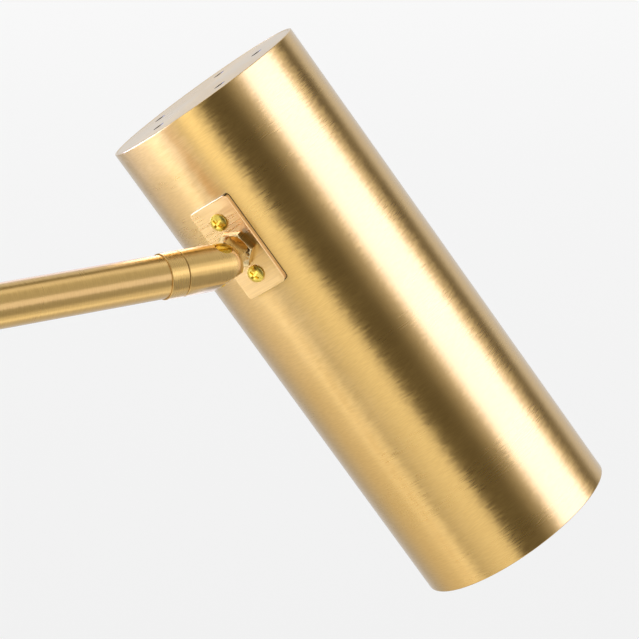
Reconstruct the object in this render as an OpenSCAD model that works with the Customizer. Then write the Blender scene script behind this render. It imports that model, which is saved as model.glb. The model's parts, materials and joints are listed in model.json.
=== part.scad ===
// Tension pole lamp: a pole wedged between floor and ceiling by a spring, one swinging arm on it,
// and one cylindrical shade that rolls, tilts and turns on the arm's knuckle.
// Origin: centre of the foot pad's underside. +Z goes up the pole, +X out along the arm.

/* [Pole] */
// Outer diameter of the pole sections
pole_d = 25; // [22:0.5:32]
// Wall of the pole sections
pole_wall = 1.4; // [1:0.1:2]
// Length of each of the three pole sections
section_len = 700; // [680:5:740]
// Length of the plugs that join the pole sections
coupler_len = 60; // [40:5:90]
// Wall of the telescoping inner tube
inner_wall = 1.4; // [1:0.1:1.8]
// Length of the inner tube that stays inside the upper section
inner_overlap = 200; // [160:5:260]
// Length of the inner tube that shows above the upper section
inner_show = 198; // [120:2:330]
// Length of the spring in the inner tube
spring_len = 160; // [120:5:200]
// Wire thickness of the spring
spring_wire = 2; // [1.4:0.1:2.4]
// Diameter of the plunger rod under the ceiling cup
rod_d = 14; // [12:0.5:15]
// Length of the plunger rod that shows
rod_show = 90; // [70:5:140]

/* [Ends] */
// Diameter of the cups at floor and ceiling
cup_d = 70; // [60:1:90]
// Height of a cup's round plate
cup_plate_h = 9; // [8:0.5:14]
// Height of the collar on a cup
cup_collar_h = 24; // [16:1:36]
// Wall of the collar on a cup
cup_collar_wall = 3; // [2:0.5:5]
// Radius that blends a cup's plate into its collar
cup_fillet = 7; // [3:0.5:9]
// Thickness of the rubber pads
pad_h = 6; // [4:0.5:9]
// Part of a pad that stands out of its cup
pad_proud = 3; // [2:0.5:4]

/* [Arm carrier] */
// Height of the arm's axis above the floor
arm_z = 1500; // [1350:10:1700]
// Outer diameter of the hub and its rings
hub_d = 38; // [36:1:46]
// Height of the hub that swings on the pole
hub_h = 40; // [36:1:50]
// Height of the ring that carries the hub
carry_ring_h = 26; // [22:1:36]
// Height of the ring that keeps the hub down
keep_ring_h = 12; // [10:1:20]
// Wall of the hub's nylon bushes
bush_wall = 1.4; // [1.2:0.1:1.8]
// Thickness of a bush's flange
bush_flange = 1.2; // [1:0.1:2]
// Outer diameter of the boss that holds the arm
boss_d = 24; // [22:0.5:30]
// Distance of the boss's end from the pole's axis
boss_reach = 42; // [38:1:55]
// Diameter of the thumb screws' heads
thumb_d = 18; // [14:1:24]
// Length of the thumb screws' heads
thumb_len = 12; // [8:1:18]

/* [Arm] */
// Distance of the knuckle's pin from the pole's axis
arm_reach = 380; // [300:5:450]
// Outer diameter of the arm tube
arm_d = 16; // [14:0.5:18]
// Wall of the arm tube
arm_wall = 1; // [0.8:0.1:1.4]
// Outer diameter of the ferrule and the knuckle
knuckle_d = 17; // [15:0.5:19]
// Distance of the ferrule's pole end from the knuckle's pin
ferrule_back = 25.1; // [23:0.1:32]
// Distance of the split between ferrule and knuckle from the pin
split_back = 17.9; // [16:0.1:20]
// Diameter of the threaded spigot on which the knuckle turns
spigot_d = 8; // [7:0.5:9]

/* [Knuckle] */
// Width of the slot that takes the stud's tongue
slot_w = 5.2; // [4:0.1:6]
// Width of the stud's tongue
tongue_w = 9; // [7:0.5:9]
// Diameter of the pivot screw's shank
pivot_d = 4; // [3:0.5:5]
// Diameter of the pivot screw's head and nut
pivot_head_d = 6.6; // [6:0.1:7.5]
// Width of the stud's hexagon across its flats
hex_af = 13; // [11:0.5:15]
// Thickness of the stud's hexagon
hex_h = 3.6; // [3:0.1:5]
// Diameter of the stud's threaded shank
stud_d = 9.8; // [8:0.1:10]
// Distance of the shade's surface from the knuckle's pin
stud_reach = 17.5; // [15.5:0.5:20]
// Distance from the pin to the flat cut on the knuckle's underside
relief_dist = 6.3; // [6:0.1:8]
// Turn of the knuckle about the arm, as photographed
knuckle_roll = 19.5; // [-90:0.5:90]
// Tilt of the stud from the arm's line, as photographed
head_tilt = 34.8; // [0:0.1:90]
// Turn of the head about the stud, as photographed
head_spin = -50.2; // [-170:0.1:170]

/* [Head] */
// Outer diameter of the shade
shade_d = 82; // [76:1:90]
// Length of the shade
shade_len = 210; // [190:1:230]
// Wall of the shade
shade_wall = 1.2; // [1:0.1:2]
// Distance of the stud from the cap's outer face
stud_from_cap = 51.7; // [48:0.1:60]
// Thickness of the cap
cap_t = 1.5; // [1:0.1:3]
// Number of vent holes in the cap
vent_count = 5; // [3:1:8]
// Diameter of a vent hole
vent_d = 4.5; // [3:0.5:6]
// Diameter of the circle of vent holes
vent_circle_d = 50; // [40:1:58]
// Length of the plate on the shade
plate_len = 39; // [35:0.5:44]
// Width of the plate on the shade
plate_w = 18.4; // [16:0.1:22]
// Thickness of the plate at its middle
plate_t = 1.6; // [1.2:0.1:2.5]
// Corner radius of the plate
plate_corner = 1.8; // [0.8:0.1:3]
// Bevel along the plate's edge
plate_bevel = 0.5; // [0.3:0.1:0.8]
// Distance between the two plate screws
screw_spacing = 23.4; // [21:0.1:28]
// Head diameter of the plate screws
screw_head_d = 6.7; // [5.5:0.1:7]
// Head height of the plate screws
screw_head_h = 1.8; // [1.5:0.1:2.6]
// Shank diameter of the plate screws
screw_d = 3.5; // [2.5:0.5:4]
// Thickness of the backing plate inside the shade
backing_t = 3; // [2.5:0.1:4]

/* [Light] */
// Outer diameter of the lampholder's skirt
holder_d = 39; // [36:0.5:42]
// Length of the lampholder
holder_len = 50; // [46:1:56]
// Height of the holder bracket's shelf above the stud
shelf_z = 26.5; // [22:0.5:30]
// Thickness of the holder bracket
bracket_t = 1.5; // [1.2:0.1:2]
// Outer diameter of the hollow nipple that holds the lampholder
nipple_d = 10; // [8:0.5:11]
// Diameter of the bulb's screw cap
bulb_cap_d = 26.4; // [25:0.2:27]
// Diameter of the bulb's glass
bulb_d = 60; // [45:1:62]
// Whole length of the bulb
bulb_len = 105; // [95:1:112]

/* [Small parts] */
// Height of the switch above the floor
switch_z = 1000; // [850:10:1100]
// Diameter of the switch's knob
switch_knob_d = 18; // [14:1:24]
// Height of the cord inlet above the floor
inlet_z = 70; // [55:1:120]
// Hole in the cord inlet's grommet
inlet_bore_d = 7; // [6:0.5:8]
// Diameter of the grub screws
grub_d = 4; // [3:0.5:5]

/* [Fits] */
// Radial clearance of tubes and shafts that run in each other
run_gap = 0.08; // [0.04:0.01:0.1]
// Clearance between pieces that are screwed or seated together
seat_gap = 0.05; // [0.02:0.01:0.1]
// Clearance between faces of pieces that move past each other
face_gap = 0.2; // [0.1:0.05:0.3]

/* [Hidden] */
$fn = 96;
cut = 1;          // how far a cutting shape runs past the face it cuts
big = 60;         // size of the blocks that cut a knuckle or a plate
edge_r = 1.2;     // rounding of turned edges

brass = [0.79, 0.64, 0.36];
bright_brass = [0.92, 0.78, 0.36];
steel = [0.72, 0.73, 0.75];
rubber = [0.12, 0.12, 0.12];
nylon = [0.9, 0.89, 0.85];
ceramic = [0.93, 0.92, 0.88];
glass = [0.95, 0.95, 0.92];

// Pole, from the floor up
pole_r = pole_d / 2;
pole_bore_r = pole_r - pole_wall;
cup_z0 = pad_proud;
pad_recess_h = pad_h - pad_proud;
screw_seat_z = pad_h + seat_gap;      // underside of an end screw's head
end_head_r = 5.5;
end_head_h = 3;
pole_z0 = pad_proud + cup_plate_h;
seam_1_z = pole_z0 + section_len;
seam_2_z = seam_1_z + section_len;
pole_top_z = seam_2_z + section_len;
plug_len = 34;
end_thread_r = 3;
end_screw_len = 28;

// Telescoping tube, spring and plunger
inner_r = pole_bore_r - run_gap;
inner_bore_r = inner_r - inner_wall;
inner_z0 = pole_top_z - inner_overlap;
rod_r = rod_d / 2;
inner_top_z = pole_top_z + inner_show;
guide_flange = 4;
guide_len = 18;
ceiling_collar_z = inner_top_z + guide_flange + rod_show;
ceiling_rod_z = ceiling_collar_z + cup_collar_h;
room_height = ceiling_rod_z + cup_plate_h + pad_proud;
piston_h = 24;
piston_z1 = inner_top_z - guide_len;
piston_z0 = piston_z1 - piston_h;
spring_z0 = piston_z0 - spring_len;
spring_seat_h = 14;
rod_plug_h = 36;      // solid end of the rod that takes the ceiling screw

// Locking collar at the top of the upper section
collar_r = pole_r + 5;
collar_grip_h = 24;
collar_top_h = 20;
collar_z0 = pole_top_z - collar_grip_h;
thumb_z = pole_top_z + collar_top_h / 2;
thumb_thread_r = 3;
thumb_reach = 3;      // gap between a thumb screw's head and the ring it stands on

// Arm carrier
hub_r = hub_d / 2;
hub_bore_r = pole_r + run_gap + bush_wall + seat_gap;
hub_z0 = arm_z - hub_h / 2;
hub_z1 = arm_z + hub_h / 2;
bush_len = 12;
bush_flange_r = hub_r - 2;
carry_z1 = hub_z0 - bush_flange - face_gap;
carry_z0 = carry_z1 - carry_ring_h;
keep_z0 = hub_z1 + bush_flange + face_gap;
carry_knob_z = carry_z0 + carry_ring_h / 2;
arm_tube_x0 = hub_r;
wire_way_r = arm_d / 2 - 2;
grub_r = grub_d / 2;

// Arm, ferrule and knuckle, with x counted along the arm from the knuckle's pin
arm_r = arm_d / 2;
arm_bore_r = arm_r - arm_wall;
knuckle_r = knuckle_d / 2;
spigot_r = spigot_d / 2;
ferrule_wall = 1.5;
ferrule_plug_len = 14;
ferrule_x0 = -ferrule_back;
ferrule_x1 = -split_back;
knuckle_x0 = ferrule_x1 + face_gap;
arm_end_x = ferrule_x1 - ferrule_wall - seat_gap;
plug_x0 = arm_end_x - ferrule_plug_len;
washer_t = 1;
nut_h = 5;
spigot_x0 = plug_x0 - washer_t - nut_h - 2;
wire_bore_r = spigot_r - 1.5;
nut_corner_r = arm_bore_r - 0.4;      // the swivel nut turns inside the arm tube
tongue_t = slot_w - 2 * 0.1;
tongue_r = tongue_w / 2;
tongue_room = 0.2;                    // free space round the tongue's round end
pivot_r = pivot_d / 2;
pivot_head_r = pivot_head_d / 2;
pivot_head_h = 1.6;
pivot_head_z = 5.6;                   // underside of the pivot screw's head, from the arm's axis
relief_turn = -67;                    // direction of the relief flat round the pin
relief_dip = 36;                      // and down from the plane of the arm and slot

// Stud, with x counted from the pin towards the shade
plate_x = stud_reach - plate_t;
hex_x0 = plate_x - hex_h - seat_gap;
stud_r = stud_d / 2;
shade_r = shade_d / 2;
shade_bore_r = shade_r - shade_wall;
backing_x0 = stud_reach + shade_wall + seat_gap;
backing_x1 = backing_x0 + backing_t;
bracket_x1 = backing_x1 + seat_gap + bracket_t;
stud_washer_x = bracket_x1 + seat_gap;
stud_nut_x = stud_washer_x + washer_t + seat_gap;
stud_nut_h = 4.5;
stud_nut_af = 14;
stud_end_x = stud_nut_x + stud_nut_h + 2;
stud_wire_r = stud_r - 2;

// Head, with z counted along the shade's axis from the stud, cap up
cap_z1 = stud_from_cap;
shade_z0 = stud_from_cap - shade_len;
vent_turn = 12;                       // turns the vent holes as photographed
backing_w = plate_w - 3;
bracket_w = 14;
bracket_leg = 13;                     // length of the bracket's leg below the stud
axis_x = stud_reach + shade_r;        // the shade's axis, from the pin
holder_z1 = shelf_z - seat_gap;
holder_z0 = holder_z1 - holder_len;
holder_neck_h = 14;
holder_neck_r = holder_d / 2 - 4;
nipple_r = nipple_d / 2;
nipple_wall = 1.6;
nipple_nut_h = 4;
bulb_cap_r = bulb_cap_d / 2;
shell_t = 0.5;
shell_r = bulb_cap_r + 0.25;          // bore of the lampholder's threaded shell
socket_r = shell_r + shell_t + seat_gap;
bulb_cap_len = 25;
bulb_tip_h = 1.5;
bulb_top_z = holder_z0 + bulb_cap_len - 1;
contact_h = 3;
socket_z1 = bulb_top_z + bulb_tip_h + contact_h + 2 * seat_gap;
glass_t = 1;
bulb_r = bulb_d / 2;
bulb_end_z = bulb_top_z + bulb_tip_h - bulb_len;
bulb_mid_z = bulb_end_z + bulb_r;
bulb_neck_z = bulb_top_z - bulb_cap_len + 3;
bulb_neck_r = bulb_cap_r - 1.2;
bulb_shoulder_z = bulb_mid_z + bulb_r * 0.55;

// Switch and cord inlet
switch_barrel_r = pole_bore_r - 1.4;
switch_barrel_h = 26;
switch_bush_r = 5;
switch_shaft_r = 3;
switch_nut_t = 2.5;
switch_bush_y = pole_r + switch_nut_t + 1.5;
switch_knob_y = switch_bush_y + face_gap + 0.3;
switch_knob_len = 14;
grommet_r = inlet_bore_d / 2 + 1.6;
grommet_lip = 1.6;

// ---- frames of the moving groups ----

module at_pin() {
    translate([arm_reach, 0, arm_z]) rotate([knuckle_roll, 0, 0]) children();
}
module at_stud() {
    at_pin() rotate([0, 0, head_tilt]) children();
}
module at_head() {
    at_stud() rotate([head_spin, 0, 0]) translate([axis_x, 0, 0]) children();
}

// ---- shared shapes ----

// Cylinder along +X, starting at x
module bar_x(x, len, r) {
    translate([x, 0, 0]) rotate([0, 90, 0]) cylinder(h = len, r = r);
}
// Cylinder along -Y, starting at y below the axis
module bar_front(y, len, r) {
    translate([0, -y, 0]) rotate([90, 0, 0]) cylinder(h = len, r = r);
}
// Upright tube between two heights
module tube_z(z0, z1, r_out, r_in) {
    difference() {
        translate([0, 0, z0]) cylinder(h = z1 - z0, r = r_out);
        translate([0, 0, z0 - cut]) cylinder(h = z1 - z0 + 2 * cut, r = r_in);
    }
}
// Turned disc with rounded edges
module round_disc(r, h, e) {
    rotate_extrude() {
        square([r - e, h]);
        translate([0, e]) square([r, h - 2 * e]);
        translate([r - e, e]) circle(r = e);
        translate([r - e, h - e]) circle(r = e);
    }
}
// Ring with rounded outer edges
module round_ring(r, h, e, bore) {
    difference() {
        round_disc(r, h, e);
        translate([0, 0, -cut]) cylinder(h = h + 2 * cut, r = bore);
    }
}
// Hexagon along +Z with its corners turned down
module hex_bar(af, h) {
    intersection() {
        cylinder(h = h, r = af / sqrt(3), $fn = 6);
        round_disc(af / sqrt(3) - 0.25, h, 0.5);
    }
}
// Grub screw along -Z with a hexagon socket, top at z = 0
module grub(len) {
    difference() {
        translate([0, 0, -len]) cylinder(h = len, r = grub_r - seat_gap);
        translate([0, 0, -2]) cylinder(h = 2 + cut, r = grub_r * 0.55, $fn = 6);
    }
}
// Thumb screw along +Y: its tip at y = -tip, its fluted head from y = -head outwards
module thumb_screw(tip, head) {
    flute_r = thumb_d / 14;
    bar_front(tip, head - tip + cut, thumb_thread_r - seat_gap);
    difference() {
        translate([0, -head, 0]) rotate([90, 0, 0]) round_disc(thumb_d / 2, thumb_len, edge_r);
        for (i = [0:11]) rotate([0, i * 30, 0]) translate([thumb_d / 2 + flute_r * 0.4, 0, 0])
            bar_front(head - cut, thumb_len + 2 * cut, flute_r);
    }
}
// Floor or ceiling cup, standing on z = pad_proud, around a post of radius post_r
module end_cup(post_r) {
    wall_r = post_r + cup_collar_wall;
    top = pole_z0 + cup_collar_h;
    difference() {
        union() {
            translate([0, 0, cup_z0]) round_disc(cup_d / 2, cup_plate_h, edge_r);
            translate([0, 0, pole_z0 - 1]) cylinder(h = cup_collar_h + 1, r = wall_r);
            rotate_extrude() translate([wall_r, pole_z0]) difference() {
                translate([-1, -1]) square(cup_fillet + 1);
                translate([cup_fillet, cup_fillet]) circle(r = cup_fillet);
            }
        }
        translate([0, 0, pole_z0]) cylinder(h = top, r = post_r + seat_gap);
        translate([0, 0, cup_z0 - cut]) cylinder(h = pad_recess_h + cut, r = cup_d / 2 - 3);
        translate([0, 0, cup_z0 - cut]) cylinder(h = screw_seat_z + end_head_h - cup_z0 + cut,
            r = end_head_r + 0.3);
        cylinder(h = pole_z0 + cut, r = end_thread_r + 0.2);
    }
}
module end_pad() {
    round_disc(cup_d / 2 - 3 - seat_gap, pad_h - seat_gap, 0.8);
}
// Screw through a cup into its post, head down
module end_screw() {
    slot_depth = 1.2;
    difference() {
        union() {
            translate([0, 0, screw_seat_z]) cylinder(h = end_head_h - seat_gap, r = end_head_r);
            translate([0, 0, screw_seat_z]) cylinder(h = end_screw_len, r = end_thread_r);
        }
        translate([-end_head_r - cut, -0.6, screw_seat_z - cut])
            cube([2 * (end_head_r + cut), 1.2, slot_depth + cut]);
    }
}
module at_ceiling() {
    translate([0, 0, room_height]) mirror([0, 0, 1]) children();
}

// ---- foot ----

module foot_pad() {
    color(rubber) end_pad();
}
module foot_cup() {
    color(brass) end_cup(pole_r);
}
module foot_screw() {
    color(steel) end_screw();
}
module foot_plug() {
    color(steel) difference() {
        translate([0, 0, pole_z0 + seat_gap]) cylinder(h = plug_len, r = pole_bore_r - seat_gap);
        translate([0, 0, pole_z0 - cut]) cylinder(h = plug_len + 3 * cut, r = end_thread_r + seat_gap);
    }
}

// ---- pole ----

module lower_pole() {
    color(brass) difference() {
        tube_z(pole_z0 + seat_gap, seam_1_z, pole_r, pole_bore_r);
        translate([0, 0, inlet_z]) rotate([-90, 0, 0]) cylinder(h = big, r = grommet_r + seat_gap);
    }
}
module middle_pole() {
    color(brass) difference() {
        tube_z(seam_1_z + seat_gap, seam_2_z, pole_r, pole_bore_r);
        translate([0, 0, switch_z]) bar_front(0, big, switch_bush_r + seat_gap);
    }
}
module upper_pole() {
    color(brass) tube_z(seam_2_z + seat_gap, pole_top_z, pole_r, pole_bore_r);
}
module pole_coupler(seam_z) {
    wire_hole_r = pole_bore_r - 4;
    tube_z(seam_z - coupler_len / 2, seam_z + coupler_len / 2, pole_bore_r - seat_gap, wire_hole_r);
}
module lower_coupler() {
    color(steel) pole_coupler(seam_1_z);
}
module upper_coupler() {
    color(steel) pole_coupler(seam_2_z);
}
module cord_grommet() {
    // A sleeve through the wall with a lip on each side of it
    color(rubber) translate([0, 0, inlet_z]) rotate([-90, 0, 0]) difference() {
        union() {
            translate([0, 0, pole_bore_r - grommet_lip]) cylinder(h = pole_wall + 2 * grommet_lip,
                r = grommet_r);
            translate([0, 0, pole_r + seat_gap]) round_disc(grommet_r + grommet_lip, grommet_lip, 0.5);
        }
        translate([0, 0, pole_bore_r - big / 2]) cylinder(h = big, r = inlet_bore_d / 2);
    }
}

// ---- switch ----

module switch_body() {
    color(rubber) translate([0, 0, switch_z]) {
        translate([0, 0, -switch_barrel_h / 2]) cylinder(h = switch_barrel_h, r = switch_barrel_r);
        bar_front(0, switch_bush_y, switch_bush_r);
    }
}
module switch_nut() {
    color(bright_brass) translate([0, 0, switch_z]) difference() {
        translate([0, -pole_r - seat_gap, 0]) rotate([90, 0, 0]) hex_bar(14, switch_nut_t);
        bar_front(0, big, switch_bush_r + seat_gap);
    }
}
module switch_knob() {
    grip_r = switch_knob_d / 2;
    color(bright_brass) translate([0, 0, switch_z]) difference() {
        union() {
            translate([0, -switch_knob_y, 0]) rotate([90, 0, 0])
                round_disc(grip_r, switch_knob_len, edge_r);
            bar_front(switch_bush_y + face_gap, switch_knob_len / 2, switch_shaft_r);
        }
        for (i = [0:17]) rotate([0, i * 20, 0]) translate([grip_r + 0.3, 0, 0])
            bar_front(switch_knob_y - cut, switch_knob_len + 2 * cut, 0.9);
    }
}

// ---- locking collar ----

module lock_collar() {
    color(brass) difference() {
        translate([0, 0, collar_z0]) round_disc(collar_r, collar_grip_h + collar_top_h, edge_r);
        translate([0, 0, collar_z0 - cut]) cylinder(h = collar_grip_h + cut + seat_gap,
            r = pole_r + seat_gap);
        cylinder(h = room_height, r = pole_bore_r);
        translate([0, 0, thumb_z]) bar_front(0, big, thumb_thread_r);
        translate([0, 0, collar_z0 + collar_grip_h / 2]) rotate([-90, 0, 0])
            cylinder(h = big, r = grub_r);
    }
}
module collar_grub_screw() {
    color(steel) translate([0, collar_r - 0.5, collar_z0 + collar_grip_h / 2]) rotate([-90, 0, 0])
        grub(collar_r - 0.5 - pole_r - seat_gap);
}
module collar_knob() {
    color(bright_brass) translate([0, 0, thumb_z])
        thumb_screw(inner_r + run_gap, collar_r + thumb_reach);
}

// ---- telescoping tube and plunger ----

module inner_tube() {
    color(brass) tube_z(inner_z0, inner_top_z, inner_r, inner_bore_r);
}
module guide_bush() {
    color(nylon) difference() {
        union() {
            translate([0, 0, inner_top_z - guide_len]) cylinder(h = guide_len + guide_flange / 2,
                r = inner_bore_r - seat_gap);
            translate([0, 0, inner_top_z + seat_gap]) round_disc(inner_r, guide_flange - seat_gap, 0.8);
        }
        cylinder(h = room_height, r = rod_r + run_gap);
    }
}
module spring_seat() {
    seat_z1 = spring_z0 - seat_gap;
    color(steel) tube_z(seat_z1 - spring_seat_h, seat_z1, inner_bore_r - seat_gap, rod_r - 2);
}
module tension_spring() {
    coil_r = inner_bore_r - 0.6;
    color(steel) tube_z(spring_z0, piston_z0 - seat_gap, coil_r, coil_r - spring_wire);
}
module plunger_rod() {
    color(bright_brass) difference() {
        union() {
            translate([0, 0, piston_z0]) cylinder(h = piston_h - seat_gap, r = inner_bore_r - run_gap);
            translate([0, 0, piston_z0]) cylinder(h = ceiling_rod_z - seat_gap - piston_z0, r = rod_r);
        }
        translate([0, 0, piston_z0 - cut])
            cylinder(h = ceiling_rod_z - rod_plug_h - piston_z0 + cut, r = rod_r - 2);
        translate([0, 0, ceiling_rod_z - rod_plug_h / 1.2])
            cylinder(h = rod_plug_h, r = end_thread_r + seat_gap);
    }
}
module ceiling_cup() {
    color(brass) at_ceiling() end_cup(rod_r);
}
module ceiling_pad() {
    color(rubber) at_ceiling() end_pad();
}
module ceiling_screw() {
    color(steel) at_ceiling() end_screw();
}

// ---- arm carrier ----

module carry_ring() {
    color(brass) difference() {
        translate([0, 0, carry_z0]) round_ring(hub_r, carry_ring_h, edge_r, pole_r + run_gap);
        translate([0, 0, carry_knob_z]) bar_front(0, big, thumb_thread_r);
    }
}
module ring_knob() {
    color(bright_brass) translate([0, 0, carry_knob_z])
        thumb_screw(pole_r + run_gap, hub_r + thumb_reach);
}
module keep_ring() {
    color(brass) difference() {
        translate([0, 0, keep_z0]) round_ring(hub_r, keep_ring_h, edge_r, pole_r + run_gap);
        translate([0, 0, keep_z0 + keep_ring_h / 2]) rotate([-90, 0, 0]) cylinder(h = big, r = grub_r);
    }
}
module ring_grub_screw() {
    color(steel) translate([0, hub_r - 0.5, keep_z0 + keep_ring_h / 2]) rotate([-90, 0, 0])
        grub(hub_r - 0.5 - pole_r - run_gap);
}
module arm_hub() {
    color(brass) difference() {
        union() {
            translate([0, 0, hub_z0]) round_disc(hub_r, hub_h, edge_r);
            translate([0, 0, arm_z]) rotate([0, 90, 0])
                round_disc(boss_d / 2, boss_reach, edge_r);
        }
        translate([0, 0, hub_z0 - cut]) cylinder(h = hub_h + 2 * cut, r = hub_bore_r);
        translate([0, 0, arm_z]) bar_x(0, boss_reach, wire_way_r);
        translate([0, 0, arm_z]) bar_x(arm_tube_x0, boss_reach, arm_r + seat_gap);
        translate([(hub_r + boss_reach) / 2, 0, arm_z - boss_d]) cylinder(h = boss_d, r = grub_r);
    }
}
module hub_bush(up) {
    translate([0, 0, arm_z]) mirror([0, 0, up]) translate([0, 0, hub_h / 2 - bush_len]) difference() {
        union() {
            cylinder(h = bush_len + bush_flange, r = hub_bore_r - seat_gap);
            translate([0, 0, bush_len]) cylinder(h = bush_flange, r = bush_flange_r);
        }
        translate([0, 0, -cut]) cylinder(h = bush_len + bush_flange + 2 * cut, r = pole_r + run_gap);
    }
}
module hub_bushes() {
    color(nylon) for (up = [0, 1]) hub_bush(up);
}
module arm_grub_screw() {
    color(steel) translate([(hub_r + boss_reach) / 2, 0, arm_z - boss_d / 2 + 0.5])
        mirror([0, 0, 1]) grub(boss_d / 2 - 0.5 - arm_r - seat_gap);
}
module arm_tube() {
    color(brass) translate([0, 0, arm_z]) difference() {
        bar_x(arm_tube_x0 + seat_gap, arm_reach + arm_end_x - arm_tube_x0 - seat_gap, arm_r);
        bar_x(0, arm_reach, arm_bore_r);
    }
}
module arm_ferrule() {
    color(brass) translate([arm_reach, 0, arm_z]) difference() {
        bar_x(plug_x0, ferrule_x1 - plug_x0, knuckle_r);
        difference() {
            bar_x(plug_x0 - cut, arm_end_x + seat_gap - plug_x0 + cut, knuckle_r + cut);
            bar_x(plug_x0 - 2 * cut, big, arm_bore_r - seat_gap);
            difference() {
                bar_x(ferrule_x0, big, knuckle_r + 2 * cut);
                bar_x(ferrule_x0 - cut, big + 2 * cut, arm_r + seat_gap);
            }
        }
        bar_x(-big, 2 * big, spigot_r + run_gap);
    }
}

// ---- knuckle ----

module fork_knuckle() {
    tongue_way = tongue_r + tongue_room;
    color(brass) at_pin() difference() {
        union() {
            bar_x(knuckle_x0, -knuckle_x0, knuckle_r);
            sphere(r = knuckle_r);
            bar_x(spigot_x0, knuckle_x0 - spigot_x0 + 1, spigot_r);
        }
        // slot for the tongue, open at the end and on one side
        translate([-tongue_way, -tongue_way, -slot_w / 2]) cube([big, big, slot_w]);
        bar_x(-big, big, wire_bore_r);
        // flat on the underside
        rotate([0, relief_dip, relief_turn]) translate([relief_dist, -big / 2, -big / 2])
            cube([big, big, big]);
        // pivot screw and its nut
        translate([0, 0, -knuckle_r - cut]) cylinder(h = 2 * (knuckle_r + cut), r = pivot_r + seat_gap);
        for (side = [0, 1]) mirror([0, 0, side]) translate([0, 0, pivot_head_z])
            cylinder(h = knuckle_r, r = pivot_head_r + 0.1);
    }
}
module swivel_washer() {
    color(nylon) at_pin() difference() {
        bar_x(plug_x0 - seat_gap - washer_t, washer_t, nut_corner_r);
        bar_x(-big, 2 * big, spigot_r + seat_gap);
    }
}
module swivel_nut() {
    nut_af = nut_corner_r * sqrt(3);
    color(bright_brass) at_pin() difference() {
        translate([plug_x0 - 2 * seat_gap - washer_t - nut_h, 0, 0]) rotate([0, 90, 0])
            hex_bar(nut_af, nut_h);
        bar_x(-big, 2 * big, spigot_r + seat_gap);
    }
}
module pivot_screw() {
    color(bright_brass) at_pin() difference() {
        union() {
            translate([0, 0, -pivot_head_z - pivot_head_h])
                cylinder(h = 2 * (pivot_head_z + pivot_head_h), r = pivot_r);
            translate([0, 0, pivot_head_z + seat_gap]) cylinder(h = pivot_head_h, r = pivot_head_r);
        }
        translate([-knuckle_r, -0.5, pivot_head_z + pivot_head_h - 0.8]) cube([2 * knuckle_r, 1, 2]);
    }
}
module pivot_nut() {
    color(bright_brass) at_pin() difference() {
        translate([0, 0, -pivot_head_z - seat_gap - pivot_head_h])
            cylinder(h = pivot_head_h, r = pivot_head_r);
        cylinder(h = big, r = pivot_r + seat_gap, center = true);
    }
}
module swivel_stud() {
    color(bright_brass) at_stud() difference() {
        union() {
            translate([0, 0, -tongue_t / 2]) cylinder(h = tongue_t, r = tongue_r);
            translate([0, -tongue_r, -tongue_t / 2]) cube([hex_x0 + 1, tongue_w, tongue_t]);
            translate([hex_x0, 0, 0]) rotate([0, 90, 0]) hex_bar(hex_af, hex_h);
            bar_x(hex_x0, stud_end_x - hex_x0, stud_r);
        }
        translate([0, 0, -tongue_t]) cylinder(h = 2 * tongue_t, r = pivot_r + seat_gap);
        bar_x(hex_x0 + 1, big, stud_wire_r);
    }
}
module stud_washer() {
    color(steel) at_stud() difference() {
        bar_x(stud_washer_x, washer_t, stud_nut_af / 2 + 1);
        bar_x(0, big, stud_r + seat_gap);
    }
}
module stud_nut() {
    color(steel) at_stud() difference() {
        translate([stud_nut_x, 0, 0]) rotate([0, 90, 0]) hex_bar(stud_nut_af, stud_nut_h);
        bar_x(0, big, stud_r + seat_gap);
    }
}

// ---- head ----

// Places its children at the two plate screws, with +X pointing into the shade
module at_plate_screws() {
    for (side = [-1, 1]) translate([0, 0, side * screw_spacing / 2]) children();
}
module shade_tube() {
    color(brass) at_head() difference() {
        tube_z(shade_z0, cap_z1, shade_r, shade_bore_r);
        bar_x(-shade_r - cut, shade_wall + 2 * cut + 2, stud_r + 0.3);
        at_plate_screws() bar_x(-shade_r - cut, shade_wall + 2 * cut + 2, screw_d / 2 + seat_gap);
    }
}
module top_cap() {
    color(brass) at_head() difference() {
        translate([0, 0, cap_z1 - cap_t]) cylinder(h = cap_t - seat_gap, r = shade_bore_r - seat_gap);
        for (i = [0:vent_count - 1]) rotate([0, 0, vent_turn + i * 360 / vent_count])
            translate([vent_circle_d / 2, 0, cap_z1 - cap_t - cut]) cylinder(h = cap_t + 2 * cut,
                r = vent_d / 2);
    }
}
// Flat rectangle with rounded corners, in the plane across +X
module plate_outline(len, width, corner) {
    square([len - 2 * corner, width], center = true);
    square([len, width - 2 * corner], center = true);
    for (i = [-1, 1], j = [-1, 1]) translate([i * (len / 2 - corner), j * (width / 2 - corner)])
        circle(r = corner);
}
module saddle_plate() {
    plate_deep = plate_t + 3;
    face_x = -shade_r - plate_t;
    color(brass) at_head() difference() {
        translate([face_x, 0, 0]) rotate([0, 90, 0]) linear_extrude(plate_deep)
            plate_outline(plate_len, plate_w, plate_corner);
        translate([0, 0, -plate_len]) cylinder(h = 2 * plate_len, r = shade_r + seat_gap);
        for (side = [-1, 1]) {
            translate([face_x, side * plate_w / 2, 0]) rotate([0, 0, 45])
                cube([2 * plate_bevel / sqrt(2), 2 * plate_bevel / sqrt(2), 2 * plate_len], center = true);
            translate([face_x, 0, side * plate_len / 2]) rotate([0, 45, 0])
                cube([2 * plate_bevel / sqrt(2), 2 * plate_w, 2 * plate_bevel / sqrt(2)], center = true);
        }
        bar_x(-shade_r - big / 2, big, stud_r + run_gap);
        at_plate_screws() bar_x(-shade_r - big / 2, big, screw_d / 2 + seat_gap);
    }
}
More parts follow.
